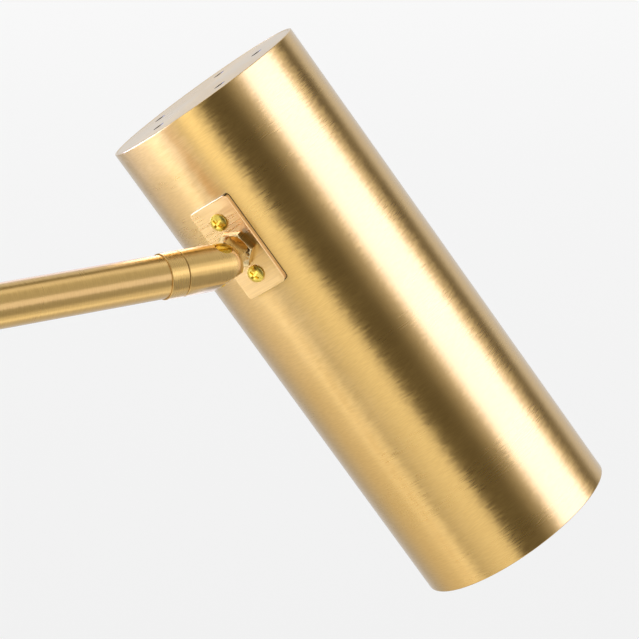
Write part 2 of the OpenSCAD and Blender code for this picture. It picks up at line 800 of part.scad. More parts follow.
// Pan head screw: a short straight rim, a shallow crown and a cross recess
module plate_screw() {
    head_x = -shade_r - plate_t - seat_gap;
    head_r = screw_head_d / 2;
    rim_h = 0.6;
    crown_h = screw_head_h - rim_h;
    crown_r = (head_r * head_r + crown_h * crown_h) / (2 * crown_h);
    shank_len = plate_t + shade_wall + backing_t;
    cross_w = 0.9;
    cross_len = 1.2 * head_r;
    cross_deep = 1.2;
    difference() {
        union() {
            bar_x(head_x, shank_len, screw_d / 2);
            intersection() {
                bar_x(head_x - screw_head_h, screw_head_h, head_r);
                translate([head_x - screw_head_h + crown_r, 0, 0]) sphere(r = crown_r);
            }
        }
        for (turn = [0, 90]) rotate([turn, 0, 0])
            translate([head_x - screw_head_h - cut, -cross_len / 2, -cross_w / 2])
                cube([cross_deep + cut, cross_len, cross_w]);
    }
}
module plate_screws() {
    color(bright_brass) at_head() at_plate_screws() plate_screw();
}
module backing_plate() {
    // A bar inside the shade, round outside and flat inside, with the screws' threads
    inner_x = backing_x1 - axis_x;
    color(steel) at_head() difference() {
        intersection() {
            translate([0, 0, -plate_len / 2]) cylinder(h = plate_len, r = shade_bore_r - seat_gap);
            translate([-shade_r, -backing_w / 2, -plate_len / 2])
                cube([shade_r + inner_x, backing_w, plate_len]);
        }
        bar_x(-shade_r - cut, big / 2, stud_r + run_gap);
        at_plate_screws() bar_x(-shade_r - cut, big / 2, screw_d / 2 + seat_gap);
    }
}
module holder_bracket() {
    leg_x = bracket_x1 - bracket_t - axis_x;
    shelf_reach = nipple_r + 6;
    color(steel) at_head() difference() {
        union() {
            translate([leg_x, -bracket_w / 2, -bracket_leg])
                cube([bracket_t, bracket_w, bracket_leg + shelf_z + bracket_t]);
            translate([leg_x, -bracket_w / 2, shelf_z]) cube([-leg_x, bracket_w, bracket_t]);
            translate([0, 0, shelf_z]) cylinder(h = bracket_t, r = shelf_reach);
        }
        bar_x(-shade_r - cut, big / 2, stud_r + run_gap);
        at_plate_screws() bar_x(-shade_r - cut, big / 2, screw_d / 2 + 0.5);
        translate([0, 0, shelf_z - cut]) cylinder(h = bracket_t + 2 * cut, r = nipple_r + seat_gap);
    }
}
module holder_nipple() {
    color(bright_brass) at_head()
        tube_z(holder_z1 - holder_neck_h + 4, shelf_z + bracket_t + nipple_nut_h + 2,
            nipple_r, nipple_r - nipple_wall);
}
module nipple_nut() {
    color(steel) at_head() difference() {
        translate([0, 0, shelf_z + bracket_t + seat_gap]) hex_bar(nipple_d + 5, nipple_nut_h);
        cylinder(h = big, r = nipple_r + seat_gap);
    }
}
module lampholder() {
    color(ceramic) at_head() difference() {
        union() {
            translate([0, 0, holder_z0]) round_disc(holder_d / 2, holder_len - holder_neck_h, edge_r);
            translate([0, 0, holder_z0 + edge_r])
                round_disc(holder_neck_r, holder_len - edge_r, edge_r);
        }
        translate([0, 0, holder_z0 - cut]) cylinder(h = socket_z1 - holder_z0 + cut, r = socket_r);
        translate([0, 0, holder_z1 - holder_neck_h + 4 - seat_gap]) cylinder(h = holder_neck_h,
            r = nipple_r + seat_gap);
    }
}
module holder_shell() {
    color(bright_brass) at_head()
        tube_z(holder_z0 + 3, socket_z1 - seat_gap, shell_r + shell_t, shell_r);
}
module holder_contact() {
    color(bright_brass) at_head() translate([0, 0, socket_z1 - seat_gap - contact_h])
        cylinder(h = contact_h, r = 4.5);
}
module bulb_cap() {
    ridge = 0.35;
    ridge_pitch = 3.6;
    ridge_count = 5;
    color(steel) at_head() difference() {
        union() {
            translate([0, 0, bulb_top_z - bulb_cap_len]) cylinder(h = bulb_cap_len, r = bulb_cap_r - ridge);
            for (i = [0:ridge_count - 1]) translate([0, 0, bulb_top_z - 4 - ridge - i * ridge_pitch])
                cylinder(h = 2 * ridge + 0.8, r = bulb_cap_r);
            translate([0, 0, bulb_top_z]) cylinder(h = bulb_tip_h, r = 4.5);
        }
        translate([0, 0, bulb_top_z - bulb_cap_len - cut]) cylinder(h = bulb_cap_len - 3 + cut,
            r = bulb_cap_r - 1);
    }
}
// Outline of the glass: a ball, a shoulder and a neck, drawn in by t
module bulb_profile(t) {
    intersection() {
        union() {
            translate([0, bulb_mid_z]) circle(r = bulb_r - t);
            polygon([
                [0, bulb_mid_z],
                [sqrt(bulb_r * bulb_r - pow(bulb_shoulder_z - bulb_mid_z, 2)) - t, bulb_shoulder_z],
                [bulb_neck_r - t, bulb_neck_z - 10],
                [bulb_neck_r - t, bulb_neck_z + t * 2],
                [0, bulb_neck_z + t * 2]
            ]);
        }
        translate([0, bulb_end_z - cut]) square([bulb_d, bulb_len]);
    }
}
module bulb_glass() {
    color(glass) at_head() rotate_extrude() difference() {
        bulb_profile(0);
        bulb_profile(glass_t);
    }
}

foot_pad();
foot_cup();
foot_screw();
foot_plug();
lower_pole();
middle_pole();
upper_pole();
lower_coupler();
upper_coupler();
cord_grommet();
switch_body();
switch_nut();
switch_knob();
lock_collar();
collar_grub_screw();
collar_knob();
inner_tube();
guide_bush();
spring_seat();
tension_spring();
plunger_rod();
ceiling_cup();
ceiling_pad();
ceiling_screw();
carry_ring();
ring_knob();
keep_ring();
ring_grub_screw();
arm_hub();
hub_bushes();
arm_grub_screw();
arm_tube();
arm_ferrule();
fork_knuckle();
swivel_washer();
swivel_nut();
pivot_screw();
pivot_nut();
swivel_stud();
stud_washer();
stud_nut();
shade_tube();
top_cap();
saddle_plate();
plate_screws();
backing_plate();
holder_bracket();
holder_nipple();
nipple_nut();
lampholder();
holder_shell();
holder_contact();
bulb_cap();
bulb_glass();
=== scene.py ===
import bpy, bmesh, json, math
from mathutils import Matrix, Vector


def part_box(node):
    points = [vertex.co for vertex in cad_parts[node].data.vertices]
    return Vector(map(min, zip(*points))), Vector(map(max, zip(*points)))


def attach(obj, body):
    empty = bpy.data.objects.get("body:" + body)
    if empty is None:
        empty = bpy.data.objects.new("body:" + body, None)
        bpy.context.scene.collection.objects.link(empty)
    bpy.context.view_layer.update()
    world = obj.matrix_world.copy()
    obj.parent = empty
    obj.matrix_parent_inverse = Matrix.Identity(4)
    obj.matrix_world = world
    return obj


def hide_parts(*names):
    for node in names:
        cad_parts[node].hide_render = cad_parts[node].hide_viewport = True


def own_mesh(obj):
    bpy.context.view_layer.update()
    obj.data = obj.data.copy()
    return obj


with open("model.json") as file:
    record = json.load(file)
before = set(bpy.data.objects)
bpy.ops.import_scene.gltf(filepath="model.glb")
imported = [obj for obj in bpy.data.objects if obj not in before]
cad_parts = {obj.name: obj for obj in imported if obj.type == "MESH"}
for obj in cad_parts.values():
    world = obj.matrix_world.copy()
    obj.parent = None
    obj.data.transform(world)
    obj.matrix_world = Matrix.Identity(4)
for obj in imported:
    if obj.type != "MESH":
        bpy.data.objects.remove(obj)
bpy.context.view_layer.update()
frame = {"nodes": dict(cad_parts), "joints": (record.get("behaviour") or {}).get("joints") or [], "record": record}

scene = bpy.context.scene
mm = 0.001
joints = {j["name"]: j for j in frame["joints"]}
record = frame["record"]
homeOf = {n: b for b, nodes in record["behaviour"]["bodies"].items() for n in nodes}
slotOf = {part["node"]: part["material_slot"] for part in record["subparts"]}


# places, all read from the frame

def middleOf(node):
    low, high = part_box(node)
    return (low + high) / 2


def heightsOf(node):
    # lowest and highest z of an upright node, in mm
    low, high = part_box(node)
    return low.z / mm, high.z / mm


def placeAt(spot, alongZ, alongX):
    # matrix that turns local Z and X to the two directions and moves them to the spot
    z = alongZ.normalized()
    x = (alongX - z * alongX.dot(z)).normalized()
    turn = Matrix((x, z.cross(x), z)).transposed().to_4x4()
    return Matrix.Translation(spot) @ turn


up = Vector((0, 0, 1))
pinSpot = Vector(joints["head_tilt"]["pos_m"])
armWay = Vector(joints["knuckle_turn"]["axis"])         # along the arm, away from the pole
pinWay = Vector(joints["head_tilt"]["axis"])
studWay = Vector(joints["head_turn"]["axis"])           # from the pin into the shade
shadeMiddle = middleOf("shade_tube")
shadeUp = (middleOf("top_cap") - shadeMiddle).normalized()
axisSpot = shadeMiddle + shadeUp * (pinSpot - shadeMiddle).dot(shadeUp)

atPole = Matrix.Identity(4)
atArm = placeAt(Vector((0, 0, pinSpot.z)), armWay, up)  # Z along the arm from the pole's axis, X up
atPin = placeAt(pinSpot, armWay, pinWay)                # Z along the arm from the pin, X along the pin
atStud = placeAt(pinSpot, studWay, pinWay)              # Z from the pin into the shade, X along the pin
atHead = placeAt(axisSpot, shadeUp, studWay)            # Z up to the cap, X away from the arm
print("places read from the frame")


# camera, floor and light

photoView = {"azimuth": -34.646, "elevation": 16.646, "fromAxis": (-0.51628, -0.77256, 0.23059),
             "lens": 140.845, "sensor": 36.0, "clip": (0.05, 200)}


def makeCamera():
    a, e = math.radians(photoView["azimuth"]), math.radians(photoView["elevation"])
    back = Vector((math.sin(a) * math.cos(e), -math.cos(a) * math.cos(e), math.sin(e)))
    data = bpy.data.cameras.new("photo_camera")
    data.lens = photoView["lens"]
    data.sensor_width = photoView["sensor"]
    data.clip_start, data.clip_end = photoView["clip"]
    camera = bpy.data.objects.new("photo_camera", data)
    camera.matrix_world = (Matrix.Translation(axisSpot + Vector(photoView["fromAxis"]))
                           @ back.to_track_quat("Z", "Y").to_matrix().to_4x4())
    scene.collection.objects.link(camera)
    scene.camera = camera
    scene.view_settings.view_transform = "Standard"
    return back


cameraBack = makeCamera()
# both square to the shade's axis, one to the front and one to the right
headFront = (cameraBack - shadeUp * cameraBack.dot(shadeUp)).normalized()
headSide = shadeUp.cross(headFront)


def setInputs(tree, node, inputs):
    # each input gets a value, or a link from another node's output
    for key, value in inputs.items():
        if isinstance(value, bpy.types.NodeSocket):
            tree.links.new(value, node.inputs[key])
        else:
            node.inputs[key].default_value = value


def addNode(tree, kind, inputs=None, **settings):
    made = tree.nodes.new(kind)
    for key, value in settings.items():
        setattr(made, key, value)
    setInputs(tree, made, inputs or {})
    return made


def coordsOf(tree):
    return addNode(tree, "ShaderNodeTexCoord").outputs["Object"]


def mathOf(tree, operation, a, b=0.0, c=0.0):
    return addNode(tree, "ShaderNodeMath", {0: a, 1: b, 2: c}, operation=operation).outputs[0]


def vectorOf(tree, operation, *inputs):
    made = addNode(tree, "ShaderNodeVectorMath", dict(enumerate(inputs)), operation=operation)
    return made.outputs["Value" if operation in ("DOT_PRODUCT", "LENGTH") else "Vector"]


def spread(tree, value, low, high, fromLow=0.3, fromHigh=0.7):
    return addNode(tree, "ShaderNodeMapRange", {"Value": value, "From Min": fromLow, "From Max": fromHigh,
                                                "To Min": low, "To Max": high}).outputs["Result"]


def setRamp(ramp, stops):
    elements = ramp.color_ramp.elements
    while len(elements) > 1:
        elements.remove(elements[-1])
    for i, (where, colour) in enumerate(stops):
        element = elements[0] if i == 0 else elements.new(where)
        element.position = where
        element.color = (*colour, 1)


def newLook(name):
    look = bpy.data.materials.new(name)
    look.use_nodes = True
    return look, look.node_tree, look.node_tree.nodes["Principled BSDF"]


def toObject(name, bm, place=None):
    if place is not None:
        bmesh.ops.transform(bm, matrix=place, verts=bm.verts)
    mesh = bpy.data.meshes.new(name)
    bm.to_mesh(mesh)
    bm.free()
    obj = bpy.data.objects.new(name, mesh)
    scene.collection.objects.link(obj)
    return obj


# Brightness of the studio round the shade's axis: degrees from the front, + to the right, level and
# warmth. White walls with a brown flag right in front and one at the far right.
studio = {
    "plain": 0.985,
    "glow": 1.5,
    "warm": (1.0, 0.86, 0.58),
    "round": [(-180, 0.76, 0), (-165, 0.62, 0), (-140, 0.46, 0.1), (-110, 0.68, 0.5), (-90, 0.80, 0.3),
              (-82, 1.15, 0), (-72, 1.12, 0), (-62, 0.46, 0.2), (-50, 0.74, 0.1), (-26, 1.0, 0),
              (-18, 0.86, 0), (-11, 0.10, 0.8), (18, 0.085, 1), (30, 0.32, 0.3), (42, 0.46, 0),
              (80, 0.5, 0), (96, 0.8, 0), (103, 0.45, 0.3), (109, 0.09, 1), (118, 0.11, 1),
              (130, 0.66, 0), (150, 0.62, 0), (180, 0.74, 0)],
}
# Soft boxes, each seen mirrored on the head or the arm that many degrees round from the camera's line,
# + to the right or downwards, with its distance from there and its place along the axis in metres
boxKeys = ("on", "turn", "away", "along", "wide", "long", "brightness", "tint")
softBoxes = {name: dict(zip(boxKeys, values)) for name, *values in (
    ("right_box", ("head", "screws", "plate"), 32.5, 1.5, 0.0, 1.5, 2.4, 0.8, (1.0, 1.08, 1.7)),
    ("right_core", ("head", "screws", "plate"), 32.5, 1.3, 0.0, 1.0, 2.2, 0.7, (0.9, 1.15, 3.4)),
    ("left_box", ("head", "plate"), -46, 0.45, 0.36, 0.75, 0.35, 4.0, (1.0, 1.3, 3.4)),
    ("left_strip", ("head", "plate"), -14.5, 0.6, 0.42, 0.14, 0.5, 1.6, (1.0, 1.0, 1.0)),
    ("plate_glow", ("plate",), -34, 1.0, 0.15, 0.8, 0.9, 0.16, (1.0, 1.1, 1.9)),
    ("screw_glow", ("screws",), -38, 1.0, 0.1, 0.9, 0.9, 1.3, (1.0, 0.97, 0.9)),
    ("foot_glow", ("head",), 6, 0.6, -0.5, 0.3, 0.4, 0.12, (1.0, 1.0, 1.0)),
    ("tube_front", ("arm",), 5, 1.5, 0.0, 0.7, 2.0, 0.55, (1.0, 1.0, 1.5)),
    ("tube_high", ("arm",), -33, 1.5, 0.0, 0.6, 2.0, 0.28, (1.0, 1.0, 1.2)),
    ("tube_low", ("arm",), 40, 1.5, 0.0, 0.9, 2.0, 0.42, (1.0, 1.0, 1.0)),
    ("knuckle_front", ("knuckle",), 0, 1.5, 0.0, 0.5, 2.0, 0.5, (1.0, 1.0, 1.2)),
    ("knuckle_wash", ("knuckle",), 0, 1.3, 0.0, 1.2, 2.0, 0.4, (1.0, 1.0, 1.1)),
    ("knuckle_high", ("knuckle",), -51, 1.5, 0.0, 0.4, 2.0, 1.0, (1.0, 1.0, 1.0)),
    ("overhead", ("arm",), -72, 1.5, 0.0, 0.6, 2.0, 0.45, (1.0, 1.0, 1.8)),
    ("underneath", ("knuckle",), 79, 1.5, 0.0, 0.35, 2.0, 0.8, (1.0, 1.05, 1.4)),
)}


def makeStudio():
    world = bpy.data.worlds.new("studio")
    scene.world = world
    world.use_nodes = True
    tree = world.node_tree
    tree.nodes.clear()
    way = addNode(tree, "ShaderNodeTexCoord").outputs["Generated"]
    side = vectorOf(tree, "DOT_PRODUCT", way, headSide)
    front = vectorOf(tree, "DOT_PRODUCT", way, headFront)
    share = spread(tree, mathOf(tree, "ARCTAN2", side, front), 0, 1, -math.pi, math.pi)
    ramp = addNode(tree, "ShaderNodeValToRGB", {"Fac": share})
    glow = studio["glow"]
    stops = []
    for degrees, level, warmth in studio["round"]:
        tint = [1 - warmth * (1 - channel) for channel in studio["warm"]]
        stops.append(((degrees + 180) / 360, [level / glow * channel for channel in tint]))
    setRamp(ramp, stops)
    boxes = addNode(tree, "ShaderNodeBackground", {"Color": ramp.outputs["Color"], "Strength": glow})
    plain = addNode(tree, "ShaderNodeBackground", {"Color": (1, 1, 1, 1), "Strength": studio["plain"]})
    glossy = addNode(tree, "ShaderNodeLightPath").outputs["Is Glossy Ray"]
    mix = addNode(tree, "ShaderNodeMixShader", {0: glossy, 1: plain.outputs[0], 2: boxes.outputs[0]})
    addNode(tree, "ShaderNodeOutputWorld", {"Surface": mix.outputs[0]})


def mirrorWay(axis, degrees):
    # direction that the camera sees mirrored in a bar, degrees round it from the camera's line
    front = (cameraBack - axis * cameraBack.dot(axis)).normalized()
    normal = front * math.cos(math.radians(degrees)) + axis.cross(front) * math.sin(math.radians(degrees))
    return normal * 2 * normal.dot(cameraBack) - cameraBack


def makeSoftBox(name):
    box = softBoxes[name]
    spot, axis = (pinSpot, armWay) if box["on"][0] in ("arm", "knuckle") else (axisSpot, shadeUp)
    way = mirrorWay(axis, box["turn"])
    lamp = bpy.data.lights.new(name, "AREA")
    lamp.shape = "RECTANGLE"
    lamp.size, lamp.size_y = box["long"], box["wide"]
    lamp.energy = box["brightness"] * math.pi * box["long"] * box["wide"]
    lamp.color = box["tint"]
    stand = bpy.data.objects.new(name, lamp)
    stand.matrix_world = placeAt(spot + way * box["away"] + axis * box["along"], way, axis)
    stand.visible_camera = False
    stand.light_linking.receiver_collection = litPieces[name]
    scene.collection.objects.link(stand)


ownLight = {"arm_ferrule": "knuckle", "plate_screws": "screws", "saddle_plate": "plate"}


def lightPiece(obj, node):
    # puts a piece in the light of the soft boxes that stand there for it
    group = ownLight.get(node, homeOf[node])
    for name, box in softBoxes.items():
        if group in box["on"]:
            litPieces[name].objects.link(obj)


# the floor is painted darker near the lamp and paler far away: painted shade standing in for the light falling off
floorLook = {"reach": 60.0, "sides": 64, "near": (0.885,) * 3, "far": (0.965,) * 3, "nearAt": 2.0,
             "farAt": 11.0, "roughness": 0.95}


def makeFloor():
    bm = bmesh.new()
    bmesh.ops.create_circle(bm, cap_ends=True, segments=floorLook["sides"], radius=floorLook["reach"])
    floor = toObject("studio_floor", bm)
    look, tree, shader = newLook("pale_floor_painted_falloff")
    away = vectorOf(tree, "LENGTH", coordsOf(tree))
    share = spread(tree, away, 0, 1, floorLook["nearAt"], floorLook["farAt"])
    # painted shade: darker near the lamp, paler far off
    tone = addNode(tree, "ShaderNodeValToRGB", {"Fac": share})
    setRamp(tone, [(0, floorLook["near"]), (1, floorLook["far"])])
    setInputs(tree, shader, {"Base Color": tone.outputs["Color"], "Roughness": floorLook["roughness"],
                             "Specular IOR Level": 0.0})
    floor.data.materials.append(look)
    floor.visible_glossy = False


litPieces = {name: bpy.data.collections.new(name + "_pieces") for name in softBoxes}
makeStudio()
for box in softBoxes:
    makeSoftBox(box)
makeFloor()
print("camera, floor and light made")


# finishes

def localPlace(tree, place):
    # object coordinates turned into the piece's own frame, in metres
    inverse = place.inverted()
    made = addNode(tree, "ShaderNodeMapping", {"Vector": coordsOf(tree), "Location": inverse.translation,
                                               "Rotation": inverse.to_euler()}, vector_type="POINT")
    return made.outputs[0]


def noiseOf(tree, vector, scale, detail=2.0, rough=0.6):
    scale = scale if isinstance(scale, tuple) else (scale,) * 3
    place = vectorOf(tree, "MULTIPLY", vector, scale)
    return addNode(tree, "ShaderNodeTexNoise", {"Vector": place, "Scale": 1.0, "Detail": detail,
                                                "Roughness": rough}).outputs["Fac"]


def blend(tree, share, deep, pale):
    # colour between two, each given as a colour or as another node's output
    ends = [end if isinstance(end, bpy.types.NodeSocket) else (*end, 1) for end in (deep, pale)]
    return addNode(tree, "ShaderNodeMix", {"Factor": share, "A": ends[0], "B": ends[1]},
                   data_type="RGBA").outputs["Result"]


def bumpOf(tree, height, strength, distance):
    return addNode(tree, "ShaderNodeBump", {"Height": height, "Strength": strength,
                                            "Distance": distance}).outputs["Normal"]


# scales of the noise are per metre, and flat ones are for the plate
# the crease colour is painted shade: near black, laid in the cap's vents and along the plate's sides and ends
satin = {"pale": (0.875, 0.562, 0.159), "deep": (0.81, 0.506, 0.137), "paintedShade": (0.05, 0.035, 0.018),
         "roughness": (0.27, 0.33), "uneven": 0.015, "anisotropy": 0.7, "coatRoughness": 0.22, "coatIor": 1.6,
         "lines": (260, 260, 2200), "hairs": (500, 500, 4200), "haze": (14, 14, 40), "hairShare": 0.4,
         "flatLines": (2600, 90, 2600), "flatHairs": (5200, 200, 5200), "contrast": (0.35, 0.65),
         "tilt": 0.02, "lean": 0.08}


def shadePaintMask(tree, local, place, paintedShade):
    # where shade is painted: 1 in the walls of the cap's vents, or low on the plate's sides and over its end walls
    across = vectorOf(tree, "LENGTH", vectorOf(tree, "MULTIPLY", local, (1, 1, 0)))
    near = mathOf(tree, "LESS_THAN", across, paintedShade["within"] * mm)
    facing = addNode(tree, "ShaderNodeTexCoord").outputs["Normal"]
    steep = mathOf(tree, "ABSOLUTE", vectorOf(tree, "DOT_PRODUCT", facing, place.to_3x3().col[2]))
    if paintedShade["on"] == "walls":
        return mathOf(tree, "MULTIPLY", near, mathOf(tree, "LESS_THAN", steep, paintedShade["rise"]))
    return mathOf(tree, "MAXIMUM", near, mathOf(tree, "GREATER_THAN", steep, paintedShade["rise"]))


def satinBrass(name, place, turned=True, paintedShade=None):
    # brass with fine lines round the local Z of a place, or along its Y on a flat piece; painted shade, nearly
    # black, in a crease
    look, tree, shader = newLook(name)
    local = localPlace(tree, place)
    lines = noiseOf(tree, local, satin["lines" if turned else "flatLines"], 0.0)
    hairs = noiseOf(tree, local, satin["hairs" if turned else "flatHairs"], 0.0)
    haze = noiseOf(tree, local, satin["haze"])
    share, uneven, tilt = satin["hairShare"], satin["uneven"], satin["tilt"]
    grain = mathOf(tree, "MULTIPLY_ADD", hairs, share, mathOf(tree, "MULTIPLY", lines, 1 - share))
    tone = blend(tree, spread(tree, grain, 0, 1, *satin["contrast"]), satin["deep"], satin["pale"])
    # painted shade: the colour goes nearly black where the mask is 1
    if paintedShade:
        tone = blend(tree, shadePaintMask(tree, local, place, paintedShade), tone, satin["paintedShade"])
    rough = mathOf(tree, "ADD", spread(tree, haze, *satin["roughness"]), spread(tree, lines, -uneven, uneven))
    # direction of the lines, in world space
    turn = place.to_3x3()
    if turned:
        arm = vectorOf(tree, "SUBTRACT", coordsOf(tree), place.translation)
        along = vectorOf(tree, "CROSS_PRODUCT", arm, turn.col[2])
    else:
        lean = turn @ Vector((0, 1, satin["lean"]))         # gives the side walls a direction too
        along = addNode(tree, "ShaderNodeCombineXYZ", dict(zip("XYZ", lean))).outputs[0]
    worldly = addNode(tree, "ShaderNodeVectorTransform", {0: along}, vector_type="VECTOR",
                      convert_from="OBJECT", convert_to="WORLD").outputs[0]
    line = vectorOf(tree, "NORMALIZE", worldly)
    normal = addNode(tree, "ShaderNodeNewGeometry").outputs["Normal"]
    push = addNode(tree, "ShaderNodeVectorMath", {0: line, "Scale": spread(tree, grain, -tilt, tilt)},
                   operation="SCALE").outputs[0]
    setInputs(tree, shader, {
        "Base Color": tone, "Metallic": 1.0, "Roughness": rough, "Anisotropic": satin["anisotropy"],
        "Tangent": vectorOf(tree, "CROSS_PRODUCT", normal, line),
        "Normal": vectorOf(tree, "NORMALIZE", vectorOf(tree, "ADD", normal, push)),
        "Coat Weight": 1.0, "Coat Roughness": satin["coatRoughness"], "Coat IOR": satin["coatIor"]})
    return look


metal = {"detail": 4.0, "bump": 0.08, "bumpDeep": 0.0002}
moulded = {"detail": 3.0, "cloudShare": 12, "bump": 0.35}
glass = {"colour": (0.95, 0.945, 0.92, 1), "roughness": (0.38, 0.5), "transmission": 0.55, "ior": 1.45,
         "frost": 1800, "bump": 0.15, "bumpDeep": 0.0001}


def plainMetal(name, pale, deep, roughness, grainScale):
    look, tree, shader = newLook(name)
    cloud = noiseOf(tree, coordsOf(tree), grainScale, metal["detail"])
    setInputs(tree, shader, {
        "Base Color": blend(tree, spread(tree, cloud, 0, 1), deep, pale), "Metallic": 1.0,
        "Roughness": spread(tree, cloud, *roughness),
        "Normal": bumpOf(tree, cloud, metal["bump"], metal["bumpDeep"])})
    return look


def mouldedLook(name, pale, deep, roughness, grainScale, bumpDeep, sheen=0.0):
    look, tree, shader = newLook(name)
    coords = coordsOf(tree)
    grain = noiseOf(tree, coords, grainScale, moulded["detail"])
    cloud = noiseOf(tree, coords, grainScale / moulded["cloudShare"])
    setInputs(tree, shader, {
        "Base Color": blend(tree, spread(tree, cloud, 0, 1), deep, pale), "Sheen Weight": sheen,
        "Roughness": spread(tree, grain, *roughness),
        "Normal": bumpOf(tree, grain, moulded["bump"], bumpDeep)})
    return look


def frostedGlass():
    look, tree, shader = newLook("frosted_glass")
    frost = noiseOf(tree, coordsOf(tree), glass["frost"])
    setInputs(tree, shader, {
        "Base Color": glass["colour"], "Roughness": spread(tree, frost, *glass["roughness"]),
        "Transmission Weight": glass["transmission"], "IOR": glass["ior"],
        "Normal": bumpOf(tree, frost, glass["bump"], glass["bumpDeep"])})
    return look


looks = {
    "pole": satinBrass("satin_brass_pole", atPole),
    "arm": satinBrass("satin_brass_arm", atArm),
    "head": satinBrass("satin_brass_head", atHead),
    # the plate and the cap get painted shade in their creases
    "plate": satinBrass("satin_brass_plate_painted_shade", atHead, turned=False,
                        paintedShade={"on": "ends", "within": 41.5, "rise": 0.5}),
    "cap": satinBrass("satin_brass_cap_painted_shade", atHead, paintedShade={"on": "walls", "within": 34, "rise": 0.99}),
    "stud": plainMetal("polished_stud", (0.88, 0.68, 0.36), (0.82, 0.61, 0.31), (0.12, 0.18), 900),
    "polished_brass": plainMetal("polished_brass", (0.97, 0.76, 0.16), (0.93, 0.70, 0.13), (0.24, 0.32), 900),
    "zinc_steel": plainMetal("zinc_steel", (0.66, 0.67, 0.69), (0.52, 0.53, 0.55), (0.30, 0.42), 600),
    "black_rubber": mouldedLook("black_rubber", (0.035, 0.035, 0.037), (0.02, 0.02, 0.022), (0.62, 0.8),
                                1600, 0.0001, 0.1),
    "nylon": mouldedLook("nylon", (0.80, 0.79, 0.73), (0.74, 0.73, 0.66), (0.38, 0.5), 900, 0.00004),
    "switch_plastic": mouldedLook("switch_plastic", (0.04, 0.04, 0.042), (0.028, 0.028, 0.03), (0.35, 0.5),
                                  1400, 0.00005),
    "porcelain": mouldedLook("porcelain", (0.88, 0.86, 0.80), (0.83, 0.80, 0.73), (0.3, 0.45), 1100, 0.00003),
    "bulb_glass": frostedGlass(),
}
satinOf = {"pole": "pole", "telescope": "pole", "plunger": "pole", "carrier": "pole", "arm": "arm",
           "knuckle": "arm", "stud": "arm", "head": "head"}


def lookFor(node):
    slotName = slotOf[node]
    return looks[satinOf[homeOf[node]]] if slotName == "satin_brass" else looks[slotName]


for name, obj in frame["nodes"].items():
    obj.data.materials.clear()
    obj.data.materials.append(lookFor(name))
    lightPiece(obj, name)
print("finishes made")


# how pieces are made

roundSteps = 96
same = {"fine": 1e-7, "coarse": 1e-6}  # metres within which two places count as one
fit = 0.05  # mm left between pieces that are pushed together
past = 5  # mm that a cutter goes on past its piece
reach = 30  # mm from an axis out to the open, for a cutter


def turnedBy(place, degrees, axis="Z"):
    return place @ Matrix.Rotation(math.radians(degrees), 4, axis)


def roundOff(bm, geom, offset, segments, affect="EDGES", clamp=False):
    bmesh.ops.bevel(bm, geom=geom, offset=offset * mm, offset_type="OFFSET", segments=segments, profile=0.5,
                    affect=affect, material=-1, clamp_overlap=clamp)


def vertsOf(geom):
    return [v for v in geom if isinstance(v, bmesh.types.BMVert)]


def lift(bm, x=0.0, z=0.0):
    # extrudes all faces along X or Z, in mm, and gives the new corners
    lifted = vertsOf(bmesh.ops.extrude_face_region(bm, geom=bm.faces[:])["geom"])
    bmesh.ops.translate(bm, verts=lifted, vec=(x * mm, 0, z * mm))
    return lifted


def turnedShape(outline, steps=roundSteps, segments=4):
    # spins an outline of (radius, height, rounding) corners in mm round Z
    bm = bmesh.new()
    corners = [bm.verts.new((r * mm, 0, z * mm)) for r, z, _ in outline]
    bm.faces.new(corners)
    for corner, (_, _, rounding) in zip(corners, outline):
        if rounding:
            roundOff(bm, [corner], rounding, segments, "VERTICES")
    bmesh.ops.delete(bm, geom=bm.faces[:], context="FACES_ONLY")
    onAxis = [e for e in bm.edges if max(abs(v.co.x) for v in e.verts) < same["fine"]]
    bmesh.ops.delete(bm, geom=onAxis, context="EDGES")
    bmesh.ops.spin(bm, geom=bm.verts[:] + bm.edges[:], cent=(0, 0, 0), axis=(0, 0, 1), angle=2 * math.pi,
                   steps=steps, use_merge=True, use_normal_flip=False, use_duplicate=False)
    bmesh.ops.remove_doubles(bm, verts=bm.verts, dist=same["coarse"])
    bmesh.ops.recalc_face_normals(bm, faces=bm.faces)
    return bm


def prismShape(sides, across, z0, z1, soft=0.0):
    # regular prism along Z, with its flats across apart, in mm
    bm = bmesh.new()
    radius = across / 2 / math.cos(math.pi / sides) * mm
    bmesh.ops.create_circle(bm, cap_ends=True, segments=sides, radius=radius,
                            matrix=Matrix.Translation((0, 0, z0 * mm)))
    lift(bm, z=z1 - z0)
    bmesh.ops.recalc_face_normals(bm, faces=bm.faces)
    if soft:
        roundOff(bm, bm.edges[:], soft, 2, clamp=True)
    return bm


def boxShape(low, high):
    # block between two corners, in mm
    low, high = Vector(low) * mm, Vector(high) * mm
    bm = bmesh.new()
    bmesh.ops.create_cube(bm, size=1, matrix=Matrix.Translation((low + high) / 2)
                          @ Matrix.Diagonal((*(high - low), 1)))
    return bm


cutting = {"enlarge": 100, "merge": 1e-4, "turn": 1.3}      # turn: keeps a cutter's facets off the piece's


